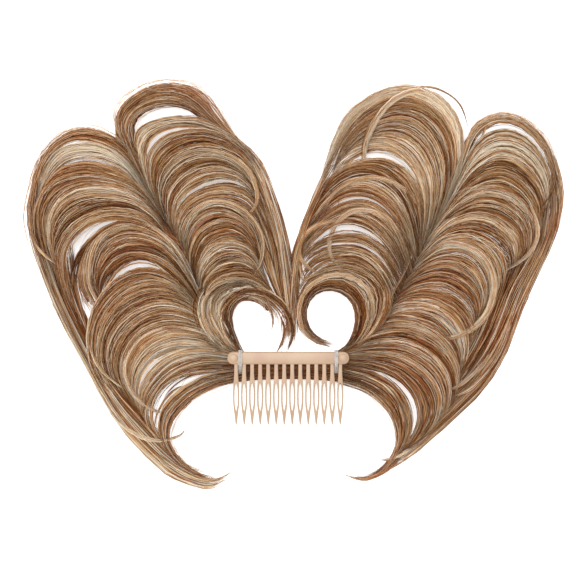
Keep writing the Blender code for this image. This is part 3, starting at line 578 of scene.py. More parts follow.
RIGHT_OUTER = (
    Guide(((430, 232), (446, 202), (457, 176), (464, 150), (472, 130), (486, 119), (503, 115), (520, 119), (536, 130),
           (548, 145), (555, 162), (559, 180), (559, 198), (555, 216),
           (549, 236)), 0.28, 0.6),
    Guide(((430, 234), (446, 204), (458, 178), (466, 152), (475, 134), (488, 124), (503, 121), (519, 125), (534, 136),
           (545, 150), (552, 166), (555, 184), (553, 202), (548, 220), (542, 238)), 0.30, 0.0),
    Guide(((428, 236), (445, 207), (457, 182), (467, 158), (478, 142), (492, 133), (508, 131), (524, 137), (537, 149),
           (546, 165), (551, 182), (550, 200), (544, 219), (536, 238)), 0.48),
    Guide(((426, 240), (444, 211), (456, 186), (467, 166), (480, 152), (495, 144), (512, 144), (527, 151), (539, 163),
           (547, 179), (549, 197), (544, 214), (536, 231), (526, 247)), 0.70),
    Guide(((426, 242), (443, 214), (455, 192), (467, 174), (481, 162), (496, 155), (512, 157), (526, 166), (537, 179),
           (544, 195), (545, 212), (540, 230), (530, 246)), 0.50),
    Guide(((424, 246), (440, 220), (453, 199), (467, 182), (482, 171), (498, 167), (513, 171), (526, 181), (536, 194),
           (541, 210), (539, 227), (531, 244), (520, 257)), 0.34),
    Guide(((422, 250), (436, 226), (450, 206), (466, 191), (483, 182), (499, 180), (514, 186), (526, 197), (534, 211),
           (537, 227), (533, 243), (524, 258), (512, 270)), 0.46),
    Guide(((420, 254), (433, 232), (447, 214), (463, 201), (480, 194), (497, 195), (512, 202), (524, 213), (531, 227),
           (532, 242), (526, 257), (516, 270), (504, 281)), 0.58),
    Guide(((418, 258), (431, 238), (445, 221), (461, 211), (478, 206), (495, 208), (510, 215), (521, 226), (526, 240),
           (523, 255), (514, 270), (503, 284)), 0.42),
    Guide(((416, 262), (428, 244), (442, 229), (458, 220), (476, 217), (493, 221), (507, 231), (516, 244), (516, 260),
           (509, 276), (500, 292)), 0.62),
    Guide(((412, 268), (426, 251), (440, 238), (457, 231), (474, 230), (491, 236), (504, 247), (511, 261),
           (509, 278), (502, 296)), 0.42),
    Guide(((410, 274), (424, 258), (438, 247), (454, 243), (470, 246), (484, 256), (493, 270), (496, 287), (492, 305),
           (483, 322)), 0.66),
    Guide(((406, 280), (420, 265), (435, 256), (452, 253), (467, 257), (479, 267), (486, 281), (487, 297), (482, 314),
           (472, 328)), 0.40),
    Guide(((400, 288), (415, 274), (431, 266), (448, 264), (463, 269), (475, 279), (482, 293), (482, 308), (476, 323),
           (466, 336)), 0.52),
    Guide(((396, 296), (411, 283), (428, 276), (445, 275), (460, 281), (472, 292), (478, 306), (475, 322), (466, 337)),
          0.40),
    Guide(((392, 302), (407, 291), (424, 285), (442, 285), (457, 292), (469, 303), (475, 317), (472, 333), (465, 350)),
          0.50, 0.45),
    Guide(((386, 309), (402, 297), (420, 292), (439, 293), (455, 300), (467, 312), (473, 327), (470, 346), (464, 364)),
          0.36),
    Guide(((382, 316), (398, 306), (416, 303), (434, 306), (449, 314), (460, 327), (466, 342), (465, 360), (459, 378)),
          0.54, 0.6),
    Guide(((376, 324), (393, 315), (412, 313), (430, 317), (444, 327), (455, 341), (460, 358), (460, 376)), 0.44),
    Guide(((368, 332), (387, 325), (408, 324), (427, 330), (442, 341), (453, 355), (459, 372), (458, 390), (451, 406)),
          0.52),
    Guide(((352, 346), (376, 337), (399, 335), (420, 341), (437, 352), (449, 367), (455, 385), (453, 403), (445, 420)),
          0.44),
    Guide(((334, 356), (352, 351), (376, 346), (400, 346), (420, 353), (437, 366), (447, 383), (448, 401), (442, 419),
           (431, 435)), 0.38),
    Guide(((332, 357), (352, 354), (377, 353), (400, 356), (418, 365), (432, 379), (440, 397), (439, 415), (430, 432),
           (416, 446)), 0.54),
    Guide(((330, 358), (352, 358), (377, 360), (398, 366), (414, 377), (426, 391), (432, 409), (428, 426), (418, 441),
           (404, 453)), 0.40),
    Guide(((328, 360), (352, 363), (376, 367), (396, 376), (409, 388), (417, 402), (420, 418), (416, 434), (406, 448),
           (393, 459)), 0.34, 0.0),
    Guide(((328, 366), (350, 369), (372, 374), (390, 383), (402, 396), (409, 411), (411, 427), (407, 442), (399, 455),
           (388, 466), (374, 475)), 0.46),
    Guide(((326, 372), (348, 377), (368, 383), (384, 393), (395, 407), (401, 422), (401, 438), (396, 452), (387, 466),
           (373, 477), (355, 480)), 0.40),
    Guide(((326, 378), (347, 384), (366, 391), (380, 401), (391, 414), (397, 429), (398, 444), (394, 458), (384, 471),
           (368, 480), (348, 478)), 0.28),
)
RIGHT_TAILS = (
    Guide(((540, 136), (551, 156), (559, 178), (562, 200), (558, 226), (549, 252), (537, 276), (526, 300), (517, 324),
           (508, 348), (496, 370), (480, 391), (461, 409), (442, 427), (422, 444), (402, 457), (384, 463)), 0.58),
    Guide(((552, 190), (552, 214), (546, 240), (535, 264), (523, 288), (513, 312), (504, 336), (492, 359), (477, 380),
           (459, 399), (440, 417), (420, 434)), 0.48),
    Guide(((541, 192), (540, 214), (538, 238), (529, 260), (516, 282), (506, 306), (497, 330), (486, 353), (471, 374), (455, 391)),
          0.42),
    Guide(((526, 234), (512, 262), (505, 284), (498, 306), (491, 328), (482, 348), (471, 367), (459, 383)), 0.36),
    Guide(((506, 232), (500, 254), (498, 278), (493, 302), (485, 325), (475, 346), (465, 364), (455, 382), (450, 396)), 0.46),
    Guide(((490, 276), (486, 300), (481, 318), (474, 335), (466, 350), (459, 366), (454, 384)), 0.30),
)

@dataclass(frozen=True)
class Group:
    """Locks that flow into each other, with their crest heights from the first to the last.

    A group that isn't rooted on the spine starts inside the hair and runs down to the surface.
    """

    guides: tuple[Guide, ...]
    crests: tuple[float, ...]
    rooted: bool = True


LEFT_CURLS = (
    Curl(((170, 226), (158, 207), (145, 191), (127, 180), (105, 175), (84, 175), (64, 178), (48, 187), (39, 200),
          (34, 216), (35, 238)), 1.6, 0.74, 24),
    Curl(((200, 296), (188, 266), (176, 247), (160, 233), (145, 226), (130, 224), (114, 227), (101, 237), (93, 250),
          (89, 266), (89, 282), (95, 296), (105, 308), (121, 319)), 2.4, 0.72, 50, 1.6),
    Curl(((90, 246), (85, 262), (84, 278), (88, 294), (98, 308)), 1.2, 0.62, 14),
    Curl(((29, 226), (35, 243), (45, 255), (58, 265), (73, 274)), 1.0, 0.64, 12),
    Curl(((194, 296), (170, 282), (148, 279), (128, 284), (112, 297), (99, 314)), 1.8, 0.66, 22),
    Curl(((192, 314), (168, 301), (148, 302), (128, 311), (114, 320)), 1.4, 0.64, 18),
    Curl(((91, 331), (92, 352), (101, 370), (117, 384), (126, 390)), 1.3, 0.70, 18),
    Curl(((236, 352), (208, 334), (184, 327), (164, 327), (146, 334), (133, 346), (125, 363), (126, 380), (134, 396),
          (148, 408), (163, 414), (177, 415)), 2.8, 0.68, 56, 1.6),
    Curl(((244, 358), (214, 351), (188, 348), (168, 351), (152, 359), (140, 373)), 2.4, 0.80, 30),
    Curl(((232, 366), (206, 366), (186, 369), (168, 377), (155, 389), (146, 402), (142, 416)), 2.0, 0.34, 30),
    Curl(((108, 410), (126, 428), (144, 438), (162, 441), (178, 437), (184, 431)), 1.6, 0.64, 26, 1.2),
    Curl(((150, 446), (166, 462), (184, 474), (204, 481), (220, 479), (231, 473)), 1.8, 0.66, 30),
    Curl(((196, 386), (178, 388), (164, 400), (156, 416), (154, 432)), 0.8, 0.60, 10),
    Curl(((226, 372), (204, 373), (186, 378), (170, 390), (160, 406)), 0.7, 0.30, 8),
    Curl(((140, 176), (126, 150), (112, 140), (94, 135), (78, 135), (62, 141), (49, 152), (40, 168), (34, 188),
          (31, 210)), 1.2, 0.30, 26),
    Curl(((124, 150), (121, 132), (125, 114), (138, 101), (156, 92), (176, 91), (194, 98)), 2.0, 0.34, 34),
    Curl(((150, 186), (143, 166), (141, 150), (146, 137), (158, 128), (174, 124), (192, 124)), 1.4, 0.68, 20),
    Curl(((164, 204), (161, 184), (168, 168), (182, 157), (200, 151), (219, 152), (236, 159), (249, 171), (256, 187),
          (257, 202), (250, 213), (243, 215)), 2.6, 0.66, 44, 1.4),
    Curl(((178, 200), (192, 178), (206, 171), (224, 170), (240, 176)), 1.8, 0.72, 22),
    Curl(((186, 252), (190, 220), (202, 206), (218, 202), (236, 206), (251, 217), (261, 233), (263, 250), (259, 266),
          (251, 278), (243, 284)), 2.4, 0.70, 50, 1.6),
    Curl(((198, 268), (206, 250), (220, 244), (238, 245), (252, 252)), 1.4, 0.70, 18),
    Curl(((202, 284), (212, 268), (228, 260), (246, 262), (258, 270)), 1.2, 0.66, 14),
    Curl(((200, 292), (214, 280), (230, 277), (246, 277), (258, 279)), 1.6, 0.32, 26),
    Curl(((232, 352), (214, 338), (204, 320), (203, 303), (211, 290), (226, 281), (244, 280)), 1.6, 0.80, 26),
    Curl(((236, 352), (222, 335), (211, 315), (212, 299), (222, 288)), 1.2, 0.78, 18),
    Curl(((240, 350), (228, 332), (219, 314), (221, 302), (232, 292)), 1.2, 0.82, 16),
    Curl(((244, 284), (258, 288), (266, 298), (271, 310), (273, 322), (271, 332)), 1.4, 0.52, 16),
    Curl(((280, 316), (284, 328), (282, 342), (276, 354)), 1.4, 0.40, 14),
    Curl(((258, 236), (268, 252), (275, 270)), 1.0, 0.30, 12),
    Curl(((252, 152), (262, 172), (266, 192), (275, 214), (284, 240), (288, 262)), 1.6, 0.66, 24),
)
RIGHT_CURLS = (
    Curl(((436, 226), (450, 192), (459, 163), (460, 136), (451, 112), (435, 97), (417, 92), (399, 97), (384, 109),
          (373, 126), (366, 142), (364, 157), (366, 170), (371, 181)), 2.4, 0.88, 60, 1.8),
    Curl(((400, 97), (384, 107), (372, 123), (365, 142), (363, 158), (366, 174)), 1.6, 0.58, 22, 1.8),
    Curl(((402, 98), (418, 88), (434, 87), (449, 93), (460, 103), (466, 115), (469, 128)), 0.8, 0.42, 9),
    Curl(((446, 196), (450, 168), (446, 142), (434, 122), (416, 111), (396, 110)), 1.4, 0.30, 26),
    Curl(((430, 232), (421, 212), (408, 195), (392, 184), (374, 179), (356, 181), (340, 189), (329, 201), (323, 216)),
         2.0, 0.70, 36, 1.2),
    Curl(((418, 262), (406, 238), (391, 222), (374, 213), (356, 211), (343, 217), (333, 229), (329, 245), (332, 259),
          (340, 268)), 2.2, 0.76, 52, 1.8),
    Curl(((356, 224), (338, 221), (320, 224), (306, 233), (299, 246), (301, 259), (310, 269), (322, 275)), 2.2, 0.68,
         46, 1.2),
    Curl(((412, 262), (398, 236), (380, 221), (362, 215)), 1.2, 0.34, 18),
    Curl(((350, 351), (366, 332), (373, 312), (370, 294), (358, 281), (342, 275), (325, 277), (310, 286), (301, 300),
          (299, 316), (304, 331), (315, 342), (330, 347)), 2.2, 0.74, 54, 1.4),
    Curl(((352, 350), (372, 330), (382, 310), (388, 294)), 1.4, 0.66, 16),
    Curl(((300, 290), (302, 284), (312, 276), (328, 272)), 1.2, 0.62, 14),
    Curl(((303, 296), (316, 285), (333, 281), (347, 288), (356, 301)), 1.6, 0.30, 30),
    Curl(((436, 214), (456, 196), (476, 189), (496, 190), (514, 198), (528, 209), (536, 223), (537, 238), (530, 252),
          (518, 263), (502, 272)), 2.2, 0.68, 50, 1.2),
    Curl(((424, 248), (440, 228), (458, 216), (478, 212)), 1.6, 0.72, 22),
    Curl(((416, 266), (430, 250), (446, 243), (462, 245), (478, 253), (489, 266), (494, 282), (493, 299), (487, 314),
          (475, 327), (458, 336), (440, 339), (426, 337)), 2.8, 0.78, 66, 1.8),
    Curl(((484, 146), (502, 141), (520, 146), (534, 156), (545, 172)), 1.6, 0.76, 22),
    Curl(((462, 164), (474, 138), (488, 126), (506, 119), (524, 123), (541, 137), (552, 157), (556, 178), (550, 196),
          (540, 208)), 1.8, 0.30, 36),
    Curl(((452, 172), (462, 150), (470, 134)), 1.6, 0.30, 24),
    Curl(((556, 206), (560, 190), (560, 172), (554, 156)), 1.4, 0.62, 18),
    Curl(((350, 346), (372, 336), (396, 331), (414, 333)), 1.4, 0.70, 18),
    Curl(((388, 302), (396, 286), (404, 272), (410, 256)), 1.2, 0.66, 14),
    Curl(((372, 352), (396, 354), (416, 363), (432, 380), (440, 400), (436, 422)), 1.6, 0.70, 24),
    Curl(((350, 368), (372, 368), (394, 376), (408, 388), (418, 406), (419, 426)), 1.4, 0.30, 22),
    Curl(((380, 372), (398, 386), (410, 404), (414, 424)), 0.6, 0.62, 8),
    Curl(((444, 392), (462, 384), (478, 370), (492, 352)), 1.4, 0.76, 22),
    Curl(((450, 398), (470, 390), (486, 374), (498, 358)), 1.2, 0.70, 18),
    Curl(((416, 446), (404, 454), (392, 459), (380, 461)), 1.2, 0.74, 18),
    Curl(((404, 452), (394, 465), (380, 475), (363, 480), (345, 476)), 1.4, 0.62, 22),
    Curl(((348, 382), (366, 389), (382, 401), (393, 416), (398, 434)), 1.4, 0.28, 26),
    Curl(((530, 270), (520, 294), (512, 318), (504, 342), (494, 362), (480, 382)), 1.8, 0.66, 28),
)


def smooth_run(knots: np.ndarray, steps: int, closed: bool = False) -> np.ndarray:
    """Draw a smooth line through some knots.

    Args:
        knots: the places that it passes through.
        steps: how many points to draw, at even steps of length.
        closed: whether it ends where it starts.

    Returns:
        The line's points.
    """
    if closed:
        ends = np.vstack([knots[-1:], knots, knots[:2]])
    else:
        ends = np.vstack([2 * knots[:1] - knots[1:2], knots, 2 * knots[-1:] - knots[-2:-1]])
    fine = []
    for before, start, finish, after in zip(ends, ends[1:], ends[2:], ends[3:]):
        t = np.linspace(0, 1, 12, endpoint=False)[:, None]
        fine.append(0.5 * (2 * start + (finish - before) * t
                           + (2 * before - 5 * start + 4 * finish - after) * t**2
                           + (3 * start - before - 3 * finish + after) * t**3))
    line = np.vstack([*fine, ends[-2:-1]])
    reach = np.concatenate([[0], np.cumsum(np.linalg.norm(np.diff(line, axis=0), axis=1))])
    even = np.linspace(0, reach[-1], steps)
    return np.stack([np.interp(even, reach, line[:, axis]) for axis in range(line.shape[1])], axis=1)


@dataclass(frozen=True)
class PhotoScale:
    """Where the photograph's pixels lie on the surface, by the comb's bar."""

    metres_a_pixel: float = 0.4918 * MILLI
    bar_pixel: tuple[float, float] = (288.2, 358.0)

    def place(self, pixels: tuple[tuple[int, int], ...]) -> np.ndarray:
        """Turn pixels into places in the row's axes, as an array of (x, y)."""
        found = np.array(pixels, dtype=float)
        x = (found[:, 0] - self.bar_pixel[0]) * self.metres_a_pixel + BAR_CENTRE.x
        y = (self.bar_pixel[1] - found[:, 1]) * self.metres_a_pixel + BAR_CENTRE.y
        return np.stack([x, y], axis=1)


@dataclass(frozen=True)
class Spine:
    """A wing's spine, as a smooth line through its rows."""

    rows: tuple[SpineRow, ...]

    def height(self, y: np.ndarray) -> np.ndarray:
        """How high the spine stands at these places along the wing.

        Args:
            y: places in the row's axes.

        Returns:
            One height a place.
        """
        knots = np.array([(row.out * WING_RISE, row.up * WING_RISE, row.high * CREST_HEIGHT) for row in self.rows])
        line = smooth_run(knots, 97)
        return np.interp(y - BAR_CENTRE.y, line[:, 1], line[:, 2])


def along_guides(guides: np.ndarray, place: np.ndarray) -> np.ndarray:
    """Read lines that run between guides.

    Args:
        guides: the guides' points, one row a guide.
        place: each line's place among the guides at each step, in guide numbers.

    Returns:
        The lines' points.
    """
    low = np.clip(np.floor(place).astype(int), 0, len(guides) - 2)
    part = (place - low)[..., None]
    steps = np.arange(guides.shape[1])[None, :]
    return guides[low, steps] * (1 - part) + guides[low + 1, steps] * part


def cut_lines(lines: np.ndarray, start: np.ndarray, finish: np.ndarray) -> np.ndarray:
    """Keep each line from a start share to a finish share of its length.

    Args:
        lines: many lines of many points.
        start: where each one now starts.
        finish: where each one now ends.

    Returns:
        The shorter lines, with as many points.
    """
    steps = lines.shape[1]
    place = (start[:, None] + (finish - start)[:, None] * np.linspace(0, 1, steps)[None, :]) * (steps - 1)
    low = np.minimum(place.astype(int), steps - 2)
    part = (place - low)[..., None]
    rows = np.arange(len(lines))[:, None]
    return lines[rows, low] * (1 - part) + lines[rows, low + 1] * part


def thinned(rng: np.random.Generator, lines: np.ndarray, rings: int) -> np.ndarray:
    """Keep a few points of each line, closer together where it turns, and at other places on each line.

    Args:
        rng: random numbers.
        lines: many lines of many points.
        rings: how many points to keep.

    Returns:
        The lines with fewer points.
    """
    step = np.diff(lines, axis=1)
    length = np.linalg.norm(step, axis=2)
    heading = np.unwrap(np.arctan2(step[..., 1], step[..., 0]), axis=1)
    turn = np.abs(np.diff(heading, axis=1, prepend=heading[:, :1])) + 1e-9
    effort = length / length.sum(axis=1, keepdims=True) + 2.6 * turn / turn.sum(axis=1, keepdims=True)
    reach = np.concatenate([np.zeros((len(lines), 1)), np.cumsum(effort, axis=1)], axis=1)
    numbers = np.arange(lines.shape[1])
    out = np.empty((len(lines), rings, 3))
    for strand, (line, far) in enumerate(zip(lines, reach)):
        even = np.linspace(0, 1, rings)
        even[1:-1] += rng.uniform(-0.5, 0.5) / (rings - 1)
        places = np.interp(even * far[-1], far, numbers)
        for axis in range(3):
            out[strand, :, axis] = np.interp(places, numbers, line[:, axis])
    return out


def sideways_of(lines: np.ndarray) -> np.ndarray:
    """Work out which way lies to the left all along each line, seen from above."""
    ahead = np.gradient(lines[..., :2], axis=-2)
    ahead /= np.linalg.norm(ahead, axis=-1, keepdims=True) + 1e-12
    return np.stack([-ahead[..., 1], ahead[..., 0]], axis=-1)


@dataclass
class Tubes:
    """Closed tubes of a few sides along many lines, joined in one mesh."""

    name: str
    lines: np.ndarray
    wide: np.ndarray
    thick: np.ndarray
    tone: np.ndarray
    shade: np.ndarray
    twist: np.ndarray
    sides: int = 3
    columns: int = 4

    def frames(self) -> tuple[np.ndarray, np.ndarray]:
        """Work out which way is sideways and which way is up all along each line.

        Returns:
            The sideways and the upward unit vectors.
        """
        along = np.gradient(self.lines, axis=1)
        along /= np.linalg.norm(along, axis=2, keepdims=True) + 1e-12
        side = np.cross(np.array([0.0, 0.0, 1.0]), along)
        side /= np.linalg.norm(side, axis=2, keepdims=True) + 1e-12
        return side, np.cross(along, side)

    def corners(self) -> np.ndarray:
        """Place the corners of every ring."""
        side, rise = self.frames()
        turn = self.twist[:, None] + 2 * np.pi * np.arange(self.sides)[None, :] / self.sides
        cos, sin = np.cos(turn)[:, None, :, None], np.sin(turn)[:, None, :, None]
        across = self.wide[:, :, None, None] * cos * side[:, :, None, :]
        upward = self.thick[:, :, None, None] * sin * rise[:, :, None, :]
        return (self.lines[:, :, None, :] + across + upward).reshape(-1, 3)

    def walls(self) -> np.ndarray:
        """List the four corners of every side face."""
        count, rings, _ = self.lines.shape
        strand = np.arange(count)[:, None, None] * rings * self.sides
        ring = np.arange(rings - 1)[None, :, None] * self.sides
        one = np.arange(self.sides)[None, None, :]
        two = (one + 1) % self.sides
        start = strand + ring
        return np.stack([start + one, start + two, start + self.sides + two, start + self.sides + one], axis=-1)

    def caps(self) -> tuple[np.ndarray, np.ndarray]:
        """List the corners of the two end faces of every tube."""
        count, rings, _ = self.lines.shape
        first = np.arange(count)[:, None] * rings * self.sides + np.arange(self.sides)[None, ::-1]
        last = (np.arange(count)[:, None] * rings + rings - 1) * self.sides + np.arange(self.sides)[None, :]
        return first, last

    def layout(self) -> np.ndarray:
        """Lay every tube out on a tile of its own: along it to the right, round it upwards.

        Returns:
            The place on the map of each face corner, in the order of the faces.
        """
        count, rings, _ = self.lines.shape
        rows = math.ceil(count / self.columns)
        left = (np.arange(count) % self.columns) / self.columns
        low = (np.arange(count) // self.columns) / rows
        across = (0.03 + 0.94 * np.arange(rings) / (rings - 1)) / self.columns
        upward = (0.02 + 0.96 * np.arange(self.sides + 1) / self.sides) / rows
        u0, u1 = across[None, :-1, None], across[None, 1:, None]
        v0, v1 = upward[None, None, :-1], upward[None, None, 1:]
        shape = (count, rings - 1, self.sides)
        us = [np.broadcast_to(left[:, None, None] + value, shape) for value in (u0, u0, u1, u1)]
        vs = [np.broadcast_to(low[:, None, None] + value, shape) for value in (v0, v1, v1, v0)]
        walls = np.stack([np.stack(us, axis=-1), np.stack(vs, axis=-1)], axis=-1).reshape(-1, 2)
        turn = 2 * np.pi * np.arange(self.sides) / self.sides
        ends = []
        for middle in (0.015, 0.985):
            u = left[:, None] + (middle + 0.012 * np.cos(turn)[None, :]) / self.columns
            v = low[:, None] + (0.5 + 0.45 * np.sin(turn)[None, :]) / rows
            ends.append(np.stack([u, v], axis=-1).reshape(-1, 2))
        return np.vstack([walls, *ends])

    def build(self, material: bpy.types.Material) -> bpy.types.Object:
        """Join the tubes in one smooth mesh with its map and its strand attribute.

        Args:
            material: what the tubes are made of.

        Returns:
            The new object.
        """
        count, rings, _ = self.lines.shape
        corners, walls = self.corners(), self.walls().reshape(-1, 4)
        first, last = self.caps()
        sizes = np.concatenate([np.full(len(walls), 4), np.full(2 * count, self.sides)])
        loops = np.concatenate([walls.ravel(), first.ravel(), last.ravel()])
        mesh = bpy.data.meshes.new(self.name)
        mesh.vertices.add(len(corners))
        mesh.vertices.foreach_set("co", corners.astype(np.float32).ravel())
        mesh.loops.add(len(loops))
        mesh.loops.foreach_set("vertex_index", loops.astype(np.int32))
        mesh.polygons.add(len(sizes))
        mesh.polygons.foreach_set("loop_start", (np.cumsum(sizes) - sizes).astype(np.int32))
        mesh.polygons.foreach_set("use_smooth", np.ones(len(sizes), dtype=bool))
        mesh.update(calc_edges=True)
        layer = mesh.uv_layers.new(name="OFBake")
        layer.data.foreach_set("uv", self.layout().astype(np.float32).ravel())
        share = np.broadcast_to(np.linspace(0, 1, rings)[None, :], (count, rings))
        tone = np.broadcast_to(self.tone[:, None], (count, rings))
        shade = np.broadcast_to(self.shade[:, None], (count, rings))
        colour = np.stack([tone, share, shade, np.ones((count, rings))], axis=-1)
        colour = np.repeat(colour.reshape(-1, 4), self.sides, axis=0)
        attribute = mesh.attributes.new("strand", "FLOAT_COLOR", "POINT")
        attribute.data.foreach_set("color", colour.astype(np.float32).ravel())
        # A tress is flat, so only its two long edges are sharp
        mesh.set_sharp_from_angle(angle=math.radians(75))
        mesh.materials.append(material)
        thing = bpy.data.objects.new(self.name, mesh)
        bpy.context.scene.collection.objects.link(thing)
        return thing


@dataclass
class Relief:
    """How high the hair stands over each square millimetre, so that later curls lie on it."""

    half_size: int = 160
    cell: float = MILLI
    heights: np.ndarray = field(init=False)

    def __post_init__(self) -> None:
        """Start with a bare surface."""
        self.heights = np.zeros((2 * self.half_size, 2 * self.half_size))

    def cells(self, points: np.ndarray) -> tuple[np.ndarray, np.ndarray]:
        """Find the cells that these points lie over."""
        found = np.clip((points[..., :2] / self.cell + self.half_size).astype(int), 0, 2 * self.half_size - 1)
        return found[..., 0], found[..., 1]

    def add(self, lines: np.ndarray) -> None:
        """Raise the relief to these lines."""
        np.maximum.at(self.heights, self.cells(lines), lines[..., 2])

    def read(self, points: np.ndarray, reach: int = 2) -> np.ndarray:
        """Read the mean height near each point.

        Args:
            points: places, the last axis starting with x and y.
            reach: how many cells to each side count.

        Returns:
            One height a point.
        """
        across, up = self.cells(points)
        last = 2 * self.half_size - 1
        steps = range(-reach, reach + 1)
        near = [self.heights[np.clip(across + right, 0, last), np.clip(up + high, 0, last)]
                for right in steps for high in steps]
        return np.mean(near, axis=0)


def keep_clear_of_comb(points: np.ndarray) -> np.ndarray:
    """Press hair down where the comb lies over it, and keep all of it on the surface.

    Args:
        points: places in the row's axes, the last axis being (x, y, z).

    Returns:
        The same places, lowered near the comb.
    """
    margin, slope = 0.9 * MILLI, 9.0 * MILLI
    off_x = np.maximum(0, np.abs(points[..., 0] - BAR_CENTRE.x) - BAR_LENGTH / 2 - margin)
    off_y = np.maximum(0, np.maximum(COMB_LOW.y - points[..., 1], points[..., 1] - COMB_HIGH.y - margin))
    open_share = np.clip(np.hypot(off_x, off_y) / slope, 0, 1)
    ceiling = 5.3 * MILLI + 24 * MILLI * open_share**1.5
    out = points.copy()
    out[..., 2] = np.maximum(np.minimum(points[..., 2], ceiling), 0.3 * MILLI)
    return out


# Hair is modelled as single hairs over flat tresses of several hairs
TRESS_WIDTH = 1.00 * MILLI
TRESS_THICKNESS = 0.20 * MILLI
HAIR_WIDTH = 0.30 * MILLI


def strand_size(rng: np.random.Generator, tress: np.ndarray, rings: int) -> tuple[np.ndarray, np.ndarray]:
    """Give each strand its half width and half thickness along its length.

    Args:
        rng: random numbers.
        tress: which strands are flat tresses.
        rings: how many places along a strand.

    Returns:
        The half widths and the half thicknesses.
    """
    share = np.linspace(0, 1, rings)[None, :]
    point = np.interp(share, (0, 0.2, 0.55, 0.85, 1), (0.35, 1.0, 1.0, 0.55, 0.06))
    vary = rng.uniform(0.7, 1.25, len(tress))[:, None]
    wide = np.where(tress, TRESS_WIDTH, HAIR_WIDTH)[:, None] / 2 * vary * point
    thick = np.where(tress, TRESS_THICKNESS, HAIR_WIDTH)[:, None] / 2 * vary * np.sqrt(point)
    return wide, thick


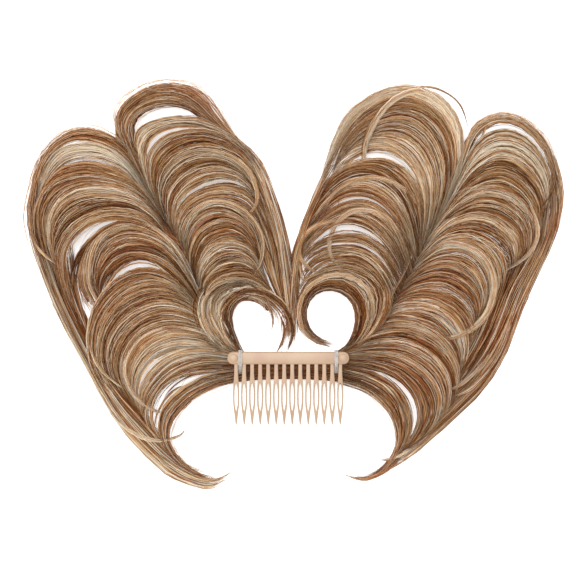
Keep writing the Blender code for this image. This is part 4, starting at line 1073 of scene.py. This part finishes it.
@dataclass
class HairLobe:
    """The hair on one side of a wing's spine: locks that follow their guides, over bodies darkened with painted shade.
    """

    name: str
    wing: Wing
    spine: Spine
    groups: tuple[Group, ...]
    seed: int
    strands: int = 2280
    rings: int = 14
    steps: int = 81
    tress_share: float = 0.30
    clump_gap: float = 1.7 * MILLI
    flyaways: int = 90
    rng: np.random.Generator = field(init=False)

    def __post_init__(self) -> None:
        """Start the lobe's own fixed random numbers."""
        self.rng = np.random.default_rng(self.seed)

    def runs(self, group: Group) -> np.ndarray:
        """Draw a group's guides on the surface."""
        return np.stack([smooth_run(PhotoScale().place(guide.run), self.steps) for guide in group.guides])

    def lift(self, group: Group, place: np.ndarray, flat: np.ndarray) -> np.ndarray:
        """How high lines stand, from the spine over their crest to the surface.

        Args:
            group: the guides that they follow.
            place: each line's place among the guides, from 0.
            flat: the lines' points, as (x, y).

        Returns:
            One height a point.
        """
        share = np.linspace(0, 1, flat.shape[1])[None, :]
        even = np.linspace(0, len(group.guides) - 1, len(group.crests))
        crest = np.interp(place, even, group.crests)[:, None] * CREST_HEIGHT * CREST_RISE
        if not group.rooted:
            return crest * (1 - share) ** 0.8
        rise = np.sin(np.pi * np.minimum(1, 1.05 * share) ** 0.8) ** 1.2
        root = self.spine.height(flat[:, :1, 1])
        return root * (1 - share) ** ROOT_SINK + crest * rise

    def part(self, group: Group, place: np.ndarray, loose: np.ndarray) -> np.ndarray:
        """Part hair round the gaps: each opens over the crest and closes towards the root and the tip.

        Args:
            group: the guides that the hair follows.
            place: each strand's place among the guides at each step.
            loose: the strands that cross a gap.

        Returns:
            The places after parting.
        """
        share = np.linspace(0, 1, place.shape[1])[None, :]
        open_share = np.sin(np.pi * np.clip((share - 0.26) / 0.56, 0, 1)) ** 0.75
        gap = np.array([guide.fill < 0.5 for guide in group.guides])
        low = np.clip(np.floor(place).astype(int), 0, len(group.guides) - 1)
        inside = place - low
        pull = open_share * np.where(loose, 0.25, 1.0)[:, None]
        parted = np.where(inside < 0.5, low + inside * (1 - pull), low + 1 - (1 - inside) * (1 - pull))
        return np.where(gap[low], parted, place)

    def grow(self, group: Group, count: int) -> dict[str, np.ndarray]:
        """Grow a group's hair between its guides, gathered in clumps.

        Args:
            group: the guides, in order.
            count: how many strands.

        Returns:
            The strands' lines, tones and shades, and which of them are tresses.
        """
        rng, runs = self.rng, self.runs(group)
        apart = np.linalg.norm(np.diff(runs, axis=0), axis=2)
        length = np.linalg.norm(np.diff(runs, axis=1), axis=2).sum(axis=1)
        fill = np.array([guide.fill for guide in group.guides])[:-1]
        weights = (0.25 + 0.75 * fill) * (apart.mean(axis=1) + 0.6 * MILLI) * (length[1:] + length[:-1])
        between = rng.choice(len(weights), count, p=weights / weights.sum())
        clumps = np.maximum(2, np.round(apart.mean(axis=1) / self.clump_gap)).astype(int)[between]
        which = rng.integers(0, 10**6, count) % clumps
        clump_tone = rng.normal(0, 0.09, (len(weights), 64))[between, which]
        centre = (which + 0.5) / clumps
        own = centre + rng.normal(0, 0.45, count) / clumps
        share = np.linspace(0, 1, self.steps)[None, :]
        gather = 1 - 0.45 * share**1.3
        drift = rng.normal(0, 0.60, count)[:, None] * (share - 0.35) * (fill[between] >= 0.5)[:, None]
        place = between[:, None] + centre[:, None] + (own - centre)[:, None] * gather + drift
        starts, ends = self.bounds(fill)
        place = np.clip(place, starts[between][:, None], ends[between][:, None])
        place = self.part(group, place, rng.random(count) < np.maximum(fill[between], 0.05))
        flat = along_guides(runs, place)
        waves = rng.uniform(0.5, 1.8, count)[:, None] * share + rng.uniform(0, 1, count)[:, None]
        across = 0.36 * MILLI * np.sin(2 * np.pi * waves) * share + rng.normal(0, 0.30, count)[:, None] * MILLI
        flat = flat + across[..., None] * sideways_of(flat)
        tress = rng.random(count) < self.tress_share
        depth = np.where(tress, rng.uniform(-1.0, 0.35, count), rng.uniform(-0.5, 1.0, count))
        full = np.interp(share, (0, 0.2, 0.5, 0.8, 1), (0.5, 0.9, 1.0, 0.6, 0.1))
        height = self.lift(group, place[:, 0], flat) + LOCK_THICKNESS / 2 * depth[:, None] * full
        lines = np.concatenate([flat, height[..., None]], axis=-1)
        short = rng.random(count) < 0.4
        finish = np.where(short, rng.uniform(0.60, 0.97, count), rng.uniform(0.96, 1.0, count))
        start = rng.uniform(0.0, 0.10 if group.rooted else 0.35, count)
        lines = keep_clear_of_comb(cut_lines(lines, start, finish))
        lines[..., 2] = np.maximum(lines[..., 2], rng.uniform(0.3, 1.3, count)[:, None] * MILLI)
        tones = np.interp(place.mean(axis=1), np.arange(len(group.guides)), [guide.tone for guide in group.guides])
        tone = tones + clump_tone + rng.normal(0, 1, count) * np.where(tress, 0.13, 0.26)
        return {"lines": lines, "tone": np.clip(tone, 0.04, 1.0), "shade": np.clip(0.80 + 0.22 * depth, 0.5, 1.0),
                "tress": tress}

    def bounds(self, fill: np.ndarray) -> tuple[np.ndarray, np.ndarray]:
        """How far hair that grows between two guides may stray before it meets a gap.

        Args:
            fill: how much hair lies after each guide.

        Returns:
            The lowest and the highest place for each interval.
        """
        starts, ends = np.arange(len(fill), dtype=float), np.arange(1, len(fill) + 1, dtype=float)
        starts[0] -= 0.4
        ends[-1] += 0.4
        for number in range(1, len(fill)):
            if fill[number] >= 0.5:
                starts[number] = starts[number - 1] if fill[number - 1] >= 0.5 else number - 0.45
        for number in range(len(fill) - 2, -1, -1):
            if fill[number] >= 0.5:
                ends[number] = ends[number + 1] if fill[number + 1] >= 0.5 else number + 1.45
        return starts, ends

    def stray(self, group: Group) -> dict[str, np.ndarray]:
        """Let a few fine hairs fly away from the locks, across the gaps and past the border."""
        rng, count, runs = self.rng, self.flyaways, self.runs(group)
        share = np.linspace(0, 1, self.steps)[None, :]
        last = len(group.guides) - 1
        border = np.where(rng.random(count) < 0.7, rng.uniform(-0.3, 0.4, count), last + rng.uniform(-0.4, 0.3, count))
        root = np.where(rng.random(count) < 0.5, border, rng.uniform(0, last, count))
        place = np.clip(root[:, None] + rng.normal(0, 0.9, count)[:, None] * share, -0.45, last + 0.5)
        flat = along_guides(runs, place)
        waves = rng.uniform(0.5, 1.5, count)[:, None] * share + rng.uniform(0, 1, count)[:, None]
        flat = flat + (1.1 * MILLI * share * np.sin(2 * np.pi * waves))[..., None] * sideways_of(flat)
        height = self.lift(group, place[:, 0], flat) + rng.uniform(0.5, 2.5, count)[:, None] * MILLI
        lines = keep_clear_of_comb(np.concatenate([flat, height[..., None]], axis=-1))
        lines = cut_lines(lines, np.zeros(count), rng.uniform(0.7, 1.0, count))
        return {"lines": lines, "tone": rng.uniform(0.35, 0.85, count), "shade": np.full(count, 1.0),
                "tress": np.zeros(count, dtype=bool)}

    def strand_tubes(self) -> Tubes:
        """Grow all the lobe's groups.

        Returns:
            The strands as thin tubes.
        """
        bundles, sizes = [], []
        for group in self.groups:
            runs = self.runs(group)
            apart = np.linalg.norm(np.diff(runs, axis=0), axis=2).mean(axis=1)
            sizes.append(float((apart * np.linalg.norm(np.diff(runs, axis=1), axis=2).sum(axis=1)[1:]
                                * [0.25 + 0.75 * guide.fill for guide in group.guides[:-1]]).sum()))
        for group, size in zip(self.groups, sizes):
            bundles.append(self.grow(group, int(self.strands * size / sum(sizes))))
        bundles.append(self.stray(self.groups[0]))
        joined = {name: np.concatenate([bundle[name] for bundle in bundles]) for name in bundles[0]}
        lines = thinned(self.rng, joined["lines"], self.rings)
        wide, thick = strand_size(self.rng, joined["tress"], self.rings)
        wide[-self.flyaways:] *= 0.65
        thick[-self.flyaways:] *= 0.65
        return Tubes(f"{self.name}_strands", lines, wide, thick, joined["tone"], joined["shade"],
                     np.full(len(lines), np.pi / 2))

    def backing(self) -> np.ndarray:
        """Lay the sewn backing of the spine under the roots.

        Returns:
            The line of the backing, from the tip of the wing to the comb.
        """
        roots = np.concatenate([self.runs(group)[:, 0] for group in self.groups if group.rooted])
        far = np.concatenate([[0.0], np.cumsum(np.linalg.norm(np.diff(roots, axis=0), axis=1))])
        even = np.linspace(0, far[-1], self.steps)
        flat = np.stack([np.interp(even, far, roots[:, axis]) for axis in range(2)], axis=-1)
        height = self.spine.height(flat[:, 1:2]) - 1.5 * MILLI
        return np.concatenate([flat, height], axis=-1)[::5]

    def body_tubes(self) -> Tubes:
        """Fill the inside of each lock, narrower and lower than its strands, with a dark tone that is painted shade.

        Returns:
            The bodies as flat oval tubes.
        """
        lines, wides = [], []
        for group in self.groups:
            runs, begin = self.runs(group), 0.04 if group.rooted else 0.34
            for number, guide in enumerate(group.guides[:-1]):
                if guide.fill < 0.7:
                    continue
                place = np.full((1, self.steps), number + 0.5)
                flat = along_guides(runs, place)
                height = self.lift(group, place[:, 0], flat) - 2.4 * MILLI
                line = np.concatenate([flat, height[..., None]], axis=-1)
                lines.append(cut_lines(line, np.array([begin]), np.array([0.92]))[0, ::5])
                apart = np.linalg.norm(runs[number + 1] - runs[number], axis=1)
                wides.append(np.interp(np.linspace(begin, 0.92, len(lines[-1])), np.linspace(0, 1, self.steps), apart))
        lines.append(self.backing())
        wides.append(np.full(len(lines[0]), 6.0 * MILLI))
        share = np.linspace(0, 1, len(lines[0]))[None, :]
        point = np.sqrt(np.clip(1.02 - share, 0, 1)) * np.clip(share / 0.15, 0.12, 1)
        half_wide = np.clip(0.50 * np.array(wides), 0.5 * MILLI, 4.5 * MILLI) * point
        half_thick = 0.9 * MILLI * point * np.ones((len(lines), 1))
        inside = keep_clear_of_comb(np.array(lines))
        inside[..., 2] = np.maximum(inside[..., 2], half_thick + 0.2 * MILLI)
        count = len(lines)
        # Painted shade: the bodies and the backing take a dark tone and a lowered shade for the shadow inside the hair
        return Tubes(f"{self.name}_bodies", inside, half_wide, half_thick, np.full(count, 0.26), np.full(count, 0.72),
                     np.zeros(count), sides=8, columns=1)

    def dress(self, fibre: bpy.types.Material, under: bpy.types.Material,
              relief: Relief) -> list[bpy.types.Object]:
        """Make the lobe's pieces and tie them to the frame.

        Args:
            fibre: the strands' material.
            under: the bodies' material.
            relief: the record of how high the hair stands, which the lobe adds to.

        Returns:
            The two new pieces.
        """
        strands = self.strand_tubes()
        relief.add(strands.lines)
        pieces = [strands.build(fibre), self.body_tubes().build(under)]
        for piece in pieces:
            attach(piece, Body.ROOT.value)
            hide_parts(self.wing.value)
        return pieces


@dataclass
class PhotoCurls:
    """The curls that stand out in the photograph, laid over a wing's locks."""

    name: str
    wing: Wing
    curls: tuple[Curl, ...]
    seed: int
    rings: int = 17
    steps: int = 65
    tress_share: float = 0.12
    rng: np.random.Generator = field(init=False)

    def __post_init__(self) -> None:
        """Start the wing's own fixed random numbers."""
        self.rng = np.random.default_rng(self.seed)

    def grow(self, curl: Curl, relief: Relief) -> dict[str, np.ndarray]:
        """Grow one curl over what lies below it.

        Args:
            curl: which curl.
            relief: how high the hair below stands.

        Returns:
            The strands' lines, tones and shades, and which of them are tresses.
        """
        rng, count = self.rng, curl.strands
        line = smooth_run(PhotoScale().place(curl.run), self.steps)
        share = np.linspace(0, 1, self.steps)[None, :]
        full = np.interp(share, (0, 0.15, 0.5, 0.85, 1), (0.3, 0.8, 1.0, 0.66, 0.14))
        v = np.clip(rng.normal(0, 0.52, count), -1.3, 1.3)[:, None]
        drift = rng.normal(0, 0.35, count)[:, None] * (share - 0.5)
        waves = rng.uniform(0.8, 2.6, count)[:, None] * share + rng.uniform(0, 1, count)[:, None]
        across = (v + drift) * curl.wide / 2 * MILLI * full + 0.20 * MILLI * share * np.sin(2 * np.pi * waves)
        flat = line[None, :, :] + across[..., None] * sideways_of(line)[None, :, :]
        below = relief.read(line, reach=3)
        soft = np.convolve(np.pad(below, 4, mode="edge"), np.ones(9) / 9, mode="valid")
        rise = np.interp(share, (0, 0.18, 0.85, 1), (-3.2, curl.over, curl.over, 0.3)) * MILLI
        depth = rng.uniform(-0.6, 1.0, count)[:, None]
        height = soft[None, :] + rise + depth * 0.8 * MILLI * full
        lines = np.concatenate([flat, np.maximum(height, 0.4 * MILLI)[..., None]], axis=-1)
        cut = np.where(rng.random(count) < 0.4, rng.uniform(0.72, 1.0, count), 1.0)
        lines = keep_clear_of_comb(cut_lines(lines, rng.uniform(0, 0.2, count), cut))
        tress = rng.random(count) < self.tress_share
        lines[..., 2] += np.where(tress, -0.3, 0.2)[:, None] * MILLI
        lines[..., 2] = np.maximum(lines[..., 2], 0.3 * MILLI)
        return {"lines": lines, "tone": np.clip(curl.tone - 0.04 + rng.normal(0, 0.17, count), 0.04, 1.0),
                "shade": np.clip(0.80 + 0.2 * depth[:, 0], 0.55, 1.0), "tress": tress}

    def dress(self, fibre: bpy.types.Material, relief: Relief) -> bpy.types.Object:
        """Make the curls and tie them to the frame.

        Args:
            fibre: the strands' material.
            relief: how high the hair below stands.

        Returns:
            The new piece.
        """
        grown = [self.grow(curl, relief) for curl in self.curls]
        joined = {name: np.concatenate([bundle[name] for bundle in grown]) for name in grown[0]}
        lines = thinned(self.rng, joined["lines"], self.rings)
        wide, thick = strand_size(self.rng, joined["tress"], self.rings)
        piece = Tubes(f"{self.name}_curls", lines, wide, thick, joined["tone"], joined["shade"],
                      np.full(len(lines), np.pi / 2)).build(fibre)
        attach(piece, Body.ROOT.value)
        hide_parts(self.wing.value)
        return piece


@dataclass
class Weft:
    """The dark gathered base under the comb: strands that run along it, arched as if over a cushion."""

    strands: int = 520
    seed: int = 41
    fibre_width: float = 0.45 * MILLI
    rings: int = 11

    def dress(self, fibre: bpy.types.Material) -> bpy.types.Object:
        """Make the weft in the place of its CAD solid.

        Args:
            fibre: the hair's material.

        Returns:
            The new piece.
        """
        low, high = (np.array(corner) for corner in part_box("weft_base"))
        rng = np.random.default_rng(self.seed)
        count = self.strands
        share = np.linspace(0, 1, self.rings)[None, :]
        angle = rng.uniform(-0.1, 1.1, count)[:, None] * np.pi
        run_on = rng.uniform(0.5, 9.0, count)[:, None] * MILLI
        bow = 1.8 * MILLI * (1 - (2 * share - 1) ** 2)
        half_y, half_z = (high[1] - low[1]) / 2 - 0.5 * MILLI, (high[2] - low[2]) / 2 - 0.35 * MILLI
        y = (low[1] + high[1]) / 2 + half_y * np.cos(angle) + bow * (np.cos(angle) < 0)
        z = (low[2] + high[2]) / 2 + half_z * np.sin(angle) + 0 * share
        x = low[0] - run_on + (high[0] - low[0] + 2 * run_on) * (share + 0 * angle)
        drift = 0.5 * MILLI * np.sin(2 * np.pi * (rng.uniform(0.5, 2, count)[:, None] * share
                                                   + rng.uniform(0, 1, count)[:, None]))
        lines = np.stack([x, y + drift, np.clip(z, low[2] + 0.4 * MILLI, high[2] - 0.3 * MILLI)], axis=-1)
        radius = np.full((count, self.rings), self.fibre_width / 2)
        tone = np.clip(rng.normal(0.14, 0.09, count), 0.0, 0.5)
        piece = Tubes("weft_strands", lines, radius, radius, tone, np.full(count, 0.8),
                      rng.uniform(0, 2 * np.pi, count)).build(fibre)
        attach(piece, Body.ROOT.value)
        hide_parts("weft_base")
        return piece


@dataclass
class Comb:
    """The moulded side comb: a rounded bar with a boss at each end, and teeth that split into two prongs."""

    teeth: int = 14
    pitch: float = 3.94 * MILLI
    tooth_length: float = 29.8 * MILLI
    tooth_thickness: float = 2.0 * MILLI
    stem: float = 1.9 * MILLI
    loop: float = 3.1 * MILLI
    prong: float = 0.72 * MILLI
    tip: float = 0.8 * MILLI
    bend: float = 2.2 * MILLI
    edge: float = 0.28 * MILLI
    bar_corner: float = 2.9 * MILLI
    bar_edge: float = 0.7 * MILLI
    boss_radius: float = 2.3 * MILLI
    boss_height: float = 0.5 * MILLI

    def outline(self, centre: float, rows: list[tuple[float, float]], samples: int) -> list[tuple[float, float]]:
        """Close a smooth outline round a tooth's centre line.

        Args:
            centre: the tooth's place along the bar.
            rows: pairs of a share of the tooth's length and a half width.
            samples: how many points run down each side.

        Returns:
            The outline's points in the bar's own axes.
        """
        along, half = np.array(rows).T
        even = np.linspace(along[0], along[-1], samples)
        soft = np.interp(even, along, half)
        for _ in range(2):
            soft[1:-1] = (soft[:-2] + 2 * soft[1:-1] + soft[2:]) / 4
        down = [(centre + w, -BAR_HEIGHT / 2 - s * self.tooth_length) for s, w in zip(even, soft)]
        back = [(centre - w, -BAR_HEIGHT / 2 - s * self.tooth_length) for s, w in zip(even[::-1], soft[::-1])]
        return down + back

    def tooth(self, number: int) -> bmesh.types.BMesh:
        """Mould one tooth, bent towards the surface.

        Args:
            number: which tooth, from the left.

        Returns:
            The tooth in the bar's own axes.
        """
        centre = (number - (self.teeth - 1) / 2) * self.pitch
        outer = [(-0.04, self.stem / 2), (0.16, self.stem / 2), (0.34, self.loop * 0.44), (0.48, self.loop / 2),
                 (0.68, self.loop * 0.47), (0.82, self.loop * 0.28), (0.94, self.tip * 0.66), (1.0, self.tip * 0.3)]
        space = self.loop / 2 - self.prong
        slot = [(0.31, space * 0.15), (0.36, space * 0.80), (0.50, space), (0.66, space * 0.90), (0.77, space * 0.15)]
        curve = bpy.data.curves.new("tooth", "CURVE")
        curve.dimensions = "2D"
        curve.fill_mode = "BOTH"
        curve.extrude = self.tooth_thickness / 2 - self.edge
        curve.bevel_depth = self.edge
        curve.bevel_resolution = 2
        curve.offset = -self.edge
        for points in (self.outline(centre, outer, 26), self.outline(centre, slot, 16)):
            spline = curve.splines.new("POLY")
            spline.points.add(len(points) - 1)
            spline.use_cyclic_u = True
            for point, (x, y) in zip(spline.points, points):
                point.co = (x, y, 0.0, 1.0)
        thing = bpy.data.objects.new("tooth", curve)
        bpy.context.scene.collection.objects.link(thing)
        graph = bpy.context.evaluated_depsgraph_get()
        mesh = bpy.data.meshes.new_from_object(thing.evaluated_get(graph))
        bm = bmesh.new()
        bm.from_mesh(mesh)
        bmesh.ops.remove_doubles(bm, verts=bm.verts, dist=1e-6)
        bpy.data.objects.remove(thing)
        bpy.data.meshes.remove(mesh)
        for vertex in bm.verts:
            reach = max(0.0, -vertex.co.y - BAR_HEIGHT / 2) / self.tooth_length
            vertex.co.z = vertex.co.z * (1.0 - 0.45 * reach) - self.bend * reach**2
        return bm

    def bar(self) -> bmesh.types.BMesh:
        """Mould the bar with its round corners, soft rims and end bosses.

        Returns:
            The bar in its own axes.
        """
        bm = bmesh.new()
        size = Matrix.Diagonal((BAR_LENGTH, BAR_HEIGHT, BAR_THICKNESS, 1.0))
        bmesh.ops.create_cube(bm, size=1.0, matrix=size)
        corners = [edge for edge in bm.edges if edge.verts[0].co.xy == edge.verts[1].co.xy]
        bmesh.ops.bevel(bm, geom=corners, offset=self.bar_corner, segments=10, profile=0.5, affect="EDGES",
                        material=-1)
        rims = [edge for edge in bm.edges if edge.calc_face_angle() > math.radians(70)]
        bmesh.ops.bevel(bm, geom=rims, offset=self.bar_edge, segments=4, profile=0.5, affect="EDGES", material=-1)
        for side in (-1, 1):
            place = Matrix.Translation((side * (BAR_LENGTH - BAR_HEIGHT) / 2, 0.0, BAR_THICKNESS / 2 - 0.05 * MILLI))
            shape = Matrix.Diagonal((self.boss_radius, self.boss_radius, self.boss_height, 1.0))
            bmesh.ops.create_uvsphere(bm, u_segments=32, v_segments=12, radius=1.0, matrix=place @ shape)
        return bm

    def dress(self, plastic: bpy.types.Material) -> bpy.types.Object:
        """Join the bar and its teeth in the place of the CAD comb.

        Args:
            plastic: the comb's material.

        Returns:
            The new piece.
        """
        whole = self.bar()
        for number in range(self.teeth):
            tooth = self.tooth(number)
            part = bpy.data.meshes.new("tooth")
            tooth.to_mesh(part)
            tooth.free()
            whole.from_mesh(part)
            bpy.data.meshes.remove(part)
        bmesh.ops.translate(whole, verts=whole.verts, vec=BAR_CENTRE)
        bmesh.ops.recalc_face_normals(whole, faces=whole.faces)
        mesh = bpy.data.meshes.new("comb_moulding")
        whole.to_mesh(mesh)
        whole.free()
        mesh.shade_smooth()
        mesh.set_sharp_from_angle(angle=math.radians(40))
        mesh.materials.append(plastic)
        piece = bpy.data.objects.new("comb_moulding", mesh)
        bpy.context.scene.collection.objects.link(piece)
        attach(piece, Body.ROOT.value)
        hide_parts("comb")
        return piece


@dataclass
class ElasticTie:
    """A tie of three clear elastic threads, pulled over the bar and round the weft."""

    node: str
    threads: int = 3
    thread: float = 0.62 * MILLI
    slack: float = 0.10 * MILLI
    seed: int = 51

    def loop(self, rng: np.random.Generator) -> list[tuple[float, float]]:
        """Draw one thread's closed loop across the bar.

        Args:
            rng: random numbers for how it lies.

        Returns:
            Points of (y, z).
        """
        low, high = (Vector(corner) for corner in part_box(self.node))
        half = self.thread / 2
        top = high.z - half + rng.uniform(-1, 1) * self.slack
        front = low.y + half
        back = high.y - half
        bar_front = BAR_CENTRE.y - BAR_HEIGHT / 2 - half
        knots = [(back, 1.0 * MILLI), (back, top - 1.2 * MILLI), (back - 0.9 * MILLI, top), (BAR_CENTRE.y, top),
                 (bar_front + 0.3 * MILLI, top), (bar_front - 1.1 * MILLI, top - 1.0 * MILLI),
                 (front + 0.5 * MILLI, top - 3.6 * MILLI), (front, top - 5.6 * MILLI), (front, 1.2 * MILLI),
                 (front + 1.0 * MILLI, half), (BAR_CENTRE.y, half), (back - 1.0 * MILLI, half)]
        return [tuple(point) for point in smooth_run(np.array(knots), 49, closed=True)[:-1]]

    def dress(self, elastic: bpy.types.Material) -> bpy.types.Object:
        """Make the tie in the place of its CAD solid.

        Args:
            elastic: the tie's material.

        Returns:
            The new piece.
        """
        rng = np.random.default_rng(self.seed)
        low, high = (Vector(corner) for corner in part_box(self.node))
        curve = bpy.data.curves.new(self.node, "CURVE")
        curve.dimensions = "3D"
        curve.bevel_depth = self.thread / 2
        curve.bevel_resolution = 3
        for number in range(self.threads):
            x = (low.x + high.x) / 2 + (number - (self.threads - 1) / 2) * self.thread * 0.92
            points = self.loop(rng)
            spline = curve.splines.new("POLY")
            spline.points.add(len(points) - 1)
            spline.use_cyclic_u = True
            for point, (y, z) in zip(spline.points, points):
                point.co = (x + rng.normal(0, 0.03) * MILLI, y, max(z, self.thread / 2), 1.0)
        loops = bpy.data.objects.new(self.node, curve)
        bpy.context.scene.collection.objects.link(loops)
        graph = bpy.context.evaluated_depsgraph_get()
        mesh = bpy.data.meshes.new_from_object(loops.evaluated_get(graph))
        bpy.data.objects.remove(loops)
        mesh.shade_smooth()
        mesh.materials.append(elastic)
        piece = bpy.data.objects.new(f"{self.node}_threads", mesh)
        bpy.context.scene.collection.objects.link(piece)
        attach(piece, Body.ROOT.value)
        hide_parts(self.node)
        return piece


@dataclass
class Studio:
    """White paper, a bright soft room and the photograph's camera, straight above."""

    paper_size: float = 3.0
    camera_height: float = 1.2
    photo_width: float = 0.2852
    sensor: float = 0.036
    aim: tuple[float, float] = (-1.77 * MILLI, -2.57 * MILLI)
    focus_height: float = 8.0 * MILLI

    def lay_paper(self, paper: bpy.types.Material) -> bpy.types.Object:
        """Lay the floor.

        Args:
            paper: its material.

        Returns:
            The floor.
        """
        bm = bmesh.new()
        bmesh.ops.create_grid(bm, x_segments=4, y_segments=4, size=self.paper_size / 2)
        mesh = bpy.data.meshes.new("paper")
        bm.to_mesh(mesh)
        bm.free()
        mesh.materials.append(paper)
        floor = bpy.data.objects.new("paper", mesh)
        bpy.context.scene.collection.objects.link(floor)
        return floor

    def light(self, name: str, place: tuple[float, float, float], size: float, power: float) -> None:
        """Hang a soft square light that looks at the origin.

        Args:
            name: what the light does.
            place: where it hangs.
            size: its width.
            power: its watts.
        """
        lamp = bpy.data.lights.new(name, "AREA")
        lamp.shape = "SQUARE"
        lamp.size = size
        lamp.energy = power
        thing = bpy.data.objects.new(name, lamp)
        thing.location = place
        thing.rotation_euler = (-Vector(place)).to_track_quat("-Z", "Y").to_euler()
        bpy.context.scene.collection.objects.link(thing)

    def build(self, paper: bpy.types.Material) -> None:
        """Lay the paper, light it and place the camera.

        Args:
            paper: the floor's material.
        """
        scene = bpy.context.scene
        self.lay_paper(paper)
        world = bpy.data.worlds.new("white room")
        scene.world = world
        world.use_nodes = True
        world.node_tree.nodes["Background"].inputs["Color"].default_value = (1.0, 1.0, 1.0, 1.0)
        world.node_tree.nodes["Background"].inputs["Strength"].default_value = 0.72
        self.light("overhead", (-0.10, 0.20, 2.0), 0.7, 19.0)
        self.light("side", (-0.9, 0.5, 0.9), 0.6, 4.0)
        camera = bpy.data.cameras.new("camera")
        camera.sensor_width = self.sensor / MILLI
        distance = self.camera_height - self.focus_height
        camera.lens = camera.sensor_width * distance / self.photo_width
        eye = bpy.data.objects.new("camera", camera)
        eye.location = (*self.aim, self.camera_height)
        scene.collection.objects.link(eye)
        scene.camera = eye
        scene.view_settings.view_transform = "Standard"


def main() -> None:
    """Dress the frame piece by piece."""
    logging.basicConfig(level=logging.INFO, format="%(message)s")
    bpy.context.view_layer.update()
    Studio().build(PaperSweep("white studio paper").build())
    fibre = HairFibre("heat-styled synthetic hair").build()
    under = HairFibre("packed under-hair", roughness=0.6, specular=0.2).build()
    plastic = MouldedPlastic("beige moulded plastic").build()
    elastic = ClearElastic("clear elastic").build()
    lobes = [
        HairLobe("left_outer", Wing.LEFT, Spine(LEFT_SPINE), (
            Group(LEFT_OUTER, (0.55, 0.80, 0.95, 0.95, 0.90, 0.80, 0.30)),
            Group(LEFT_TAILS, (0.32, 0.20), rooted=False)), seed=11),
        HairLobe("left_inner", Wing.LEFT, Spine(LEFT_SPINE), (
            Group(LEFT_INNER, (0.50, 0.85, 0.95, 1.00, 0.80)),
            Group(LEFT_RING, (0.80, 0.40)),
            Group(LEFT_COLUMN, (0.50, 0.60), rooted=False)), seed=12, strands=2030),
        HairLobe("right_inner", Wing.RIGHT, Spine(RIGHT_SPINE), (
            Group(RIGHT_INNER, (0.50, 0.80, 0.95, 1.00, 0.90)),
            Group(RIGHT_RING, (0.85, 0.50)),
            Group(RIGHT_COLUMN, (0.50, 0.60), rooted=False)), seed=13, strands=2030),
        HairLobe("right_outer", Wing.RIGHT, Spine(RIGHT_SPINE), (
            Group(RIGHT_OUTER, (0.50, 0.85, 1.00, 0.95, 0.90, 0.75, 0.30)),
            Group(RIGHT_TAILS, (0.36, 0.22), rooted=False)), seed=14),
    ]
    relief = Relief()
    pieces = [piece for lobe in lobes for piece in lobe.dress(fibre, under, relief)]
    for curls in (PhotoCurls("left", Wing.LEFT, LEFT_CURLS, seed=21),
                  PhotoCurls("right", Wing.RIGHT, RIGHT_CURLS, seed=22)):
        pieces.append(curls.dress(fibre, relief))
    for piece in pieces:
        LOG.info("%s: %d faces", piece.name, len(piece.data.polygons))
    weft = Weft().dress(replace(HairFibre("gathered weft hair"), roughness=0.5).build())
    LOG.info("%s: %d faces", weft.name, len(weft.data.polygons))
    for piece in (Comb().dress(plastic), ElasticTie("tie_left", seed=51).dress(elastic),
                  ElasticTie("tie_right", seed=52).dress(elastic)):
        LOG.info("%s: %d faces", piece.name, len(piece.data.polygons))


if __name__ == "__main__":
    main()
